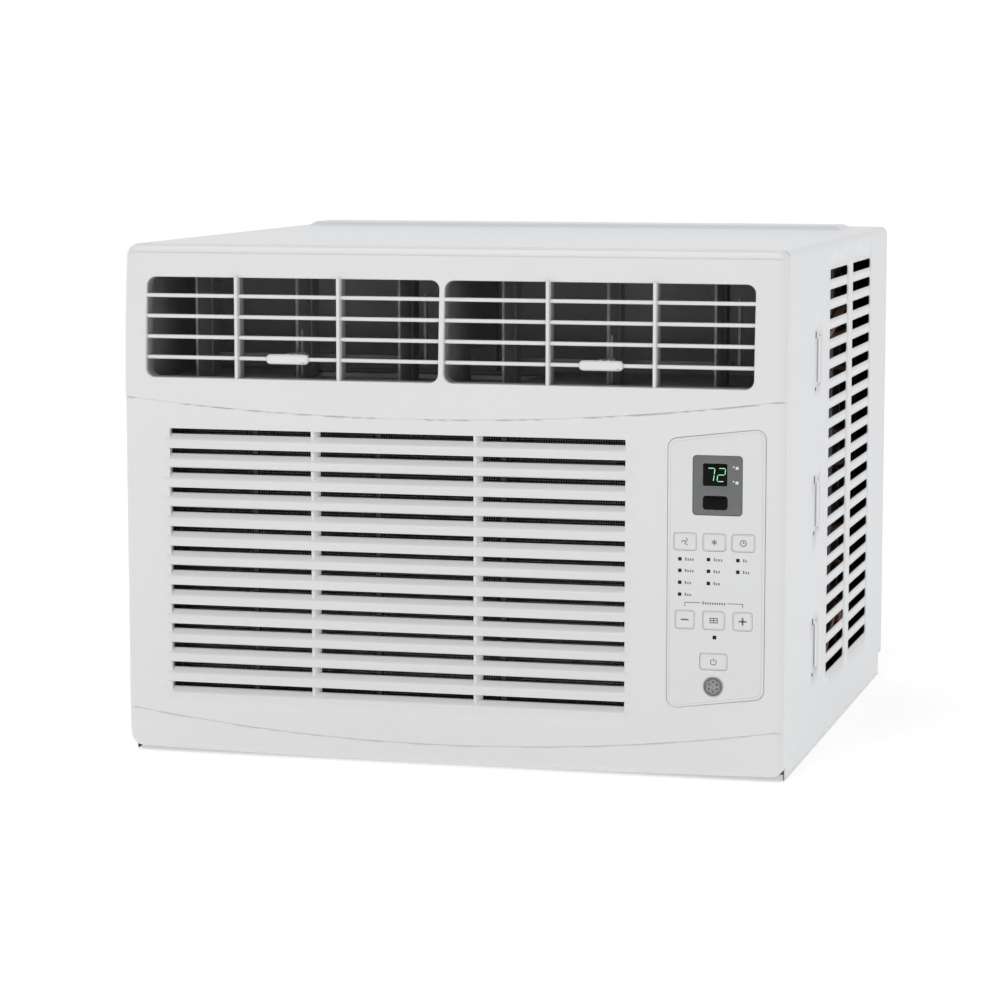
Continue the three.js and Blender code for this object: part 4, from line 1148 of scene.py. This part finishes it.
def build_cabinet():
    foot = sheet_s(CABINET_FOOT)
    knee = sheet_s(NOTCH_Z)
    front = CABINET_Y[0]
    corners = [(-foot, front), (foot, front), (foot, NOTCH_Y), (knee, NOTCH_Y), (knee, REAR_Y)]
    corners += [(-knee, REAR_Y), (-knee, NOTCH_Y), (-foot, NOTCH_Y)]
    outline = divided(corners, 12)
    holes = side_openings(1) + side_openings(-1)
    lines = []
    for way in (-1, 1):
        for k in range(7):
            s = way * (TOP_HALF + ARC * k / 6)
            lines.append([(s, y) for y in np.linspace(front + 0.5, REAR_Y - 0.5, 30)])
    loops = []
    for k in range(6):
        share = k / 5
        x = grown(RISE_X, -RISE_SLOPE * share)
        y = (RISE_Y[0] + RISE_FRONT * share, RISE_Y[1] - RISE_REAR * share)
        loops.append(divided(rectangle(x, y, 0.3, 2), 12))
    verts, faces = filled(outline, holes, loops, lines, 12)
    # The dark layer under the painted wrap, with the same openings, is painted shade for the cabinet's unlit
    # inside, seen through the slots.
    layers = (("cabinet_wrap", 0, SHEET, "white_paint"), ("cabinet_inner_shade", -SHEET - 0.02, 0.5, "rubber"))
    for name, lift, thickness, material in layers:
        solid = Solid()
        solid.add([sheet_point(s, y, lift + rise(s, y)) for s, y in verts], faces)
        skin = make(name, solid, material, "housing", smooth=30)
        towards_up = sum(f.normal.z * f.area for f in skin.data.polygons)
        if towards_up < 0:
            skin.data.flip_normals()
        thicken(skin, thickness)
        if name == "cabinet_wrap":
            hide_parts("cabinet")


def build_rear_flange():
    """The inturned flange that frames the outdoor coil, with its screws."""
    half, top = CABINET_HALF - 0.15, 350 - 0.15
    inner, lintel = 206, 330
    outer = [(-half, NOTCH_Z), (-inner, NOTCH_Z), (-inner, lintel), (inner, lintel)]
    outer += [(inner, NOTCH_Z), (half, NOTCH_Z), (half, top), (-half, top)]
    outline = rounded_corners(outer, {2: 5, 3: 5, 6: CABINET_RADIUS - 0.2, 7: CABINET_RADIUS - 0.2})
    solid = Solid()
    solid.slab(divided(outline, 10), (), facing_front, REAR_Y - 1.4, REAR_Y - 0.05, 0, 10)
    make("cabinet_rear_flange", solid, "white_paint", "housing")
    screws = Solid()
    places = [(way * 216.5, z) for way in (-1, 1) for z in (60, 180, 300)]
    for u, v in places + [(x, 340) for x in (-120, 0, 120)]:
        add_screw(screws, u, v)
    make("cabinet_screws", screws, "shaft_steel", "housing")


def add_screw(solid, u, v):
    """A pan-head screw in the rear flange, with a cross recess."""
    rings = []
    for radius, h in ((3.6, -2.2), (3.6, -1.0), (3.2, -0.5), (2.2, -0.2), (0.1, -0.1)):
        rings.append([(a, REAR_Y + h, b) for a, b in circle(u, v, radius, 20)])
    solid.rings([[(a, min(y + 0.1, REAR_Y), b) for a, y, b in ring] for ring in rings], caps=True)


def build_straps():
    """Lanced straps: each bows out of its window and tucks back in at both ends."""
    solid, window_shade = Solid(), Solid()
    y0, y1 = STRAP_Y[0] + 0.8, STRAP_Y[1] - 1.6
    profile = [(-3, -1.6), (-1, -1.4), (1.5, -0.9), (4.5, 0.75), (7, 0.85)]
    for way in (-1, 1):
        for top in STRAP_TOPS:
            heights = [top - d for d, _ in profile] + [top - STRAP_LENGTH + d for d, _ in profile[::-1]]
            lifts = [lift for _, lift in profile] + [lift for _, lift in profile[::-1]]
            rings = []
            for z, lift in zip(heights, lifts):
                x_out, x_in = way * (CABINET_HALF + lift), way * (CABINET_HALF + lift - 1.1)
                rings.append([(x_in, y0, z), (x_out, y0, z), (x_out, y1, z), (x_in, y1, z)])
            solid.rings(rings, caps=True)
            # Dark boxes close behind each strap window and notch: painted shade for the unlit inside of the
            # cabinet.
            for (y, z), depth in zip(strap_windows(top), (0.6, 0.3, 0.3)):
                inner, outer = CABINET_HALF - 1.4, CABINET_HALF - depth
                window_shade.box(sorted((way * inner, way * outer)), grown(y, -0.02), grown(z, -0.02))
    piece = make("cabinet_straps", solid, "white_paint", "housing")
    soften(piece, 0.3, 2, 50)
    make("strap_window_shade", window_shade, "dark_print_and_shade", "housing")


# ---------------------------------------------------------------- outdoor coil
def tube(solid, path, radius, sides=12):
    """A round tube along a path, with closed ends."""
    points = [Vector(p) for p in path]
    rings = []
    normal = None
    for i, here in enumerate(points):
        ahead = (points[min(i + 1, len(points) - 1)] - points[max(i - 1, 0)]).normalized()
        if normal is None:
            normal = ahead.orthogonal().normalized()
        normal = (normal - ahead * normal.dot(ahead)).normalized()
        across = ahead.cross(normal)
        angles = [2 * math.pi * k / sides for k in range(sides)]
        rings.append([here + (normal * math.cos(a) + across * math.sin(a)) * radius for a in angles])
    solid.rings(rings, caps=True)


def build_coil():
    x, y, z = (span("condenser_coil", axis) for axis in (X, Y, Z))
    plate = 1.2
    fin_pitch, fin = 1.8, 0.09
    fins = Solid()
    for u in np.arange(x[0] + plate + 1, x[1] - plate - 0.5, fin_pitch):
        zig = [(y[0] + 0.5, 0), (y[0] + 6, 0.25), (y[0] + 13, -0.25), (y[0] + 20, 0.25), (y[0] + 27, -0.25),
               (y[0] + 33, 0.25), (y[1] - 0.5, 0)]
        ring = [(u + fin + w, v) for v, w in zig] + [(u - fin + w, v) for v, w in zig[::-1]]
        fins.rings([[(a, b, h) for a, b in ring] for h in grown(z, -1.5)], caps=True)
    pack = make("condenser_fins", fins, "coil_fins", "housing", smooth=20)
    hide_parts("condenser_coil")
    plates = Solid()
    for u in (x[0], x[1] - plate):
        plates.box((u, u + plate), y, z)
        for v in (y[0], y[1] - plate):
            plates.box(sorted((u + plate / 2, u + plate / 2 + (8 if u < 0 else -8))), (v, v + plate), z)
    ends = make("condenser_end_plates", plates, "galvanised_steel", "housing")
    soften(ends, 0.3)
    pipes = Solid()
    rows = 13
    heights = [z[0] + 16 + k * (z[1] - z[0] - 32) / (rows - 1) for k in range(rows)]
    reach = (heights[1] - heights[0]) / 2
    for v in (y[0] + 10, y[1] - 10):
        for k, h in enumerate(heights):
            around = np.linspace(0, 2 * math.pi, 13)[:-1]
            section = [(v + 3.5 * math.cos(a), h + 3.5 * math.sin(a)) for a in around]
            pipes.rings([[(u, b, c) for b, c in section] for u in (x[0] - 1, x[1] + 1)], caps=True)
            if k < rows - 1:
                at, way = (x[1], 1) if k % 2 == 0 else (x[0], -1)
                bend = [(at + way * reach * math.sin(a), v, h + reach - reach * math.cos(a))
                        for a in np.linspace(0, math.pi, 13)]
                tube(pipes, bend, 3.3)
    make("condenser_tubes", pipes, "copper", "housing", smooth=50)


def build_coil_seals():
    """Foam that closes the gaps between the outdoor coil and the cabinet, and covers the return bends."""
    y = span("condenser_coil", Y)[1]
    x0, x1 = span("condenser_coil", X)
    wall = CABINET_HALF - 1.6
    foam = Solid()
    foam.box((-wall, x0 - 0.3), (y - 5, y), (18, 338))
    foam.box((x1 + 0.3, wall), (y - 5, y), (18, 338))
    foam.box((9 - wall, wall - 9), (y - 5, y), (338, CABINET_TOP - 2))
    for x in ((-216.5, -214), (212, 214.5)):
        foam.box(x, (y - 38, y - 5), (18, 338))
    piece = make("coil_seals", foam, "rubber", "housing")
    soften(piece, 0.5, 2, 50)


# ---------------------------------------------------------------- carried-over nodes
CARRIED = {
    "control_board": ("circuit_board", 0.2), "control_box": ("galvanised_steel", 0.5),
    "run_capacitor": ("capacitor_can", 1.0), "outlet_duct": ("duct_plastic_and_shade", 0.8),
    "evaporator_coil": ("coil_fins", 0.4), "blower_scroll": ("foam", 0.8),
    "blower_wheel": ("dark_plastic", 0.3), "motor_shaft": ("shaft_steel", 0.3),
    "fan_motor": ("motor_steel", 1.5), "motor_bracket": ("galvanised_steel", 0.6),
    "bulkhead": ("galvanised_steel", 0.3), "condenser_fan": ("dark_plastic", 0.5),
    "fan_shroud": ("dark_plastic", 0.6),
    "compressor": ("black_enamel", 1.5), "compressor_grommet_1": ("rubber", 0.4),
    "compressor_grommet_2": ("rubber", 0.4), "compressor_grommet_3": ("rubber", 0.4),
    "accumulator": ("black_enamel", 1.0), "suction_line": ("copper", 0), "discharge_line": ("copper", 0),
    "filter_drier": ("copper", 0.6), "capillary_tube": ("copper", 0), "base_pan": ("pan_enamel", 0.8),
    "cord_gland": ("rubber", 0.3),
}


def dress(node, material, width):
    """A better finish and softened edges on a node whose shape stays."""
    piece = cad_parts[node]
    if not piece.data.materials:
        piece.data.materials.append(None)
    for k in range(len(piece.data.materials)):
        piece.data.materials[k] = FINISHES[material]
    piece.data.shade_smooth()
    piece.data.set_sharp_from_angle(angle=math.radians(32))
    if width:
        soften(piece, width, 2, 32)


def dress_carried_nodes():
    for node, (material, width) in CARRIED.items():
        dress(node, material, width)
    for side in SIDES:
        for number in (1, 2, 3):
            dress(f"{side}_vane_{number}", "vane_plastic", 0.35)
        dress(f"{side}_vane_link", "gray_plastic", 0.4)
        dress(f"{side}_blade_link", "dark_plastic", 0.3)


# ---------------------------------------------------------------- stage, light and camera
def build_stage():
    mesh = bpy.data.meshes.new("floor")
    reach = 30.0
    steps = 24
    grid = bmesh.new()
    bmesh.ops.create_grid(grid, x_segments=steps, y_segments=steps, size=reach)
    grid.to_mesh(mesh)
    grid.free()
    floor = bpy.data.objects.new("floor", mesh)
    bpy.context.scene.collection.objects.link(floor)
    mesh.materials.append(FINISHES["floor_paper"])


def add_light(name, place, target, size, power, colour=(1, 1, 1)):
    data = bpy.data.lights.new(name, "AREA")
    data.shape = "DISK"
    data.size = size
    data.energy = power
    data.color = colour
    lamp = bpy.data.objects.new(name, data)
    bpy.context.scene.collection.objects.link(lamp)
    lamp.location = place
    lamp.rotation_euler = (Vector(target) - Vector(place)).to_track_quat("-Z", "Y").to_euler()


def build_world():
    """A white studio: bright behind, beside and above the object, dimmer in front of it."""
    world = bpy.data.worlds.new("studio")
    bpy.context.scene.world = world
    world.use_nodes = True
    nodes, links = world.node_tree.nodes, world.node_tree.links
    direction = nodes.new("ShaderNodeTexCoord")
    along = nodes.new("ShaderNodeVectorMath")
    along.operation = "DOT_PRODUCT"
    along.inputs[1].default_value = (0, 1, -0.3)
    links.new(direction.outputs["Generated"], along.inputs[0])
    level = nodes.new("ShaderNodeMapRange")
    level.interpolation_type = "SMOOTHSTEP"
    level.inputs["From Min"].default_value = -0.75
    level.inputs["From Max"].default_value = 0.25
    level.inputs["To Min"].default_value = 0.42
    level.inputs["To Max"].default_value = 1.0
    links.new(along.outputs["Value"], level.inputs["Value"])
    background = nodes["Background"]
    background.inputs["Color"].default_value = (1, 1, 1, 1)
    links.new(level.outputs["Result"], background.inputs["Strength"])


def build_light():
    centre = (0, 0, 0.18)
    add_light("key", (-0.6, -2.65, 2.1), centre, 1.5, 31)
    add_light("fill", (2.6, -0.9, 1.4), centre, 1.8, 5, (0.97, 0.985, 1))
    bpy.context.scene.view_settings.view_transform = "Standard"


def build_camera():
    data = bpy.data.cameras.new("camera")
    data.lens = 118.6
    data.sensor_width = 36
    data.shift_x = 0.0088
    data.shift_y = 0.0304
    data.clip_end = 100
    camera = bpy.data.objects.new("camera", data)
    bpy.context.scene.collection.objects.link(camera)
    camera.location = (0.5858, -2.3321, 0.4409)
    camera.rotation_euler = (math.radians(90 - 7.291), 0, math.radians(14.785))
    bpy.context.scene.camera = camera


build_camera()
build_stage()
build_world()
build_light()
build_front_panel()
build_panel_ribs()
build_outlet_collars()
build_fascia()
build_buttons()
build_indicators()
build_display()
build_badge()
build_outlets()
build_filter()
build_cabinet()
build_rear_flange()
build_straps()
build_coil()
build_coil_seals()
dress_carried_nodes()
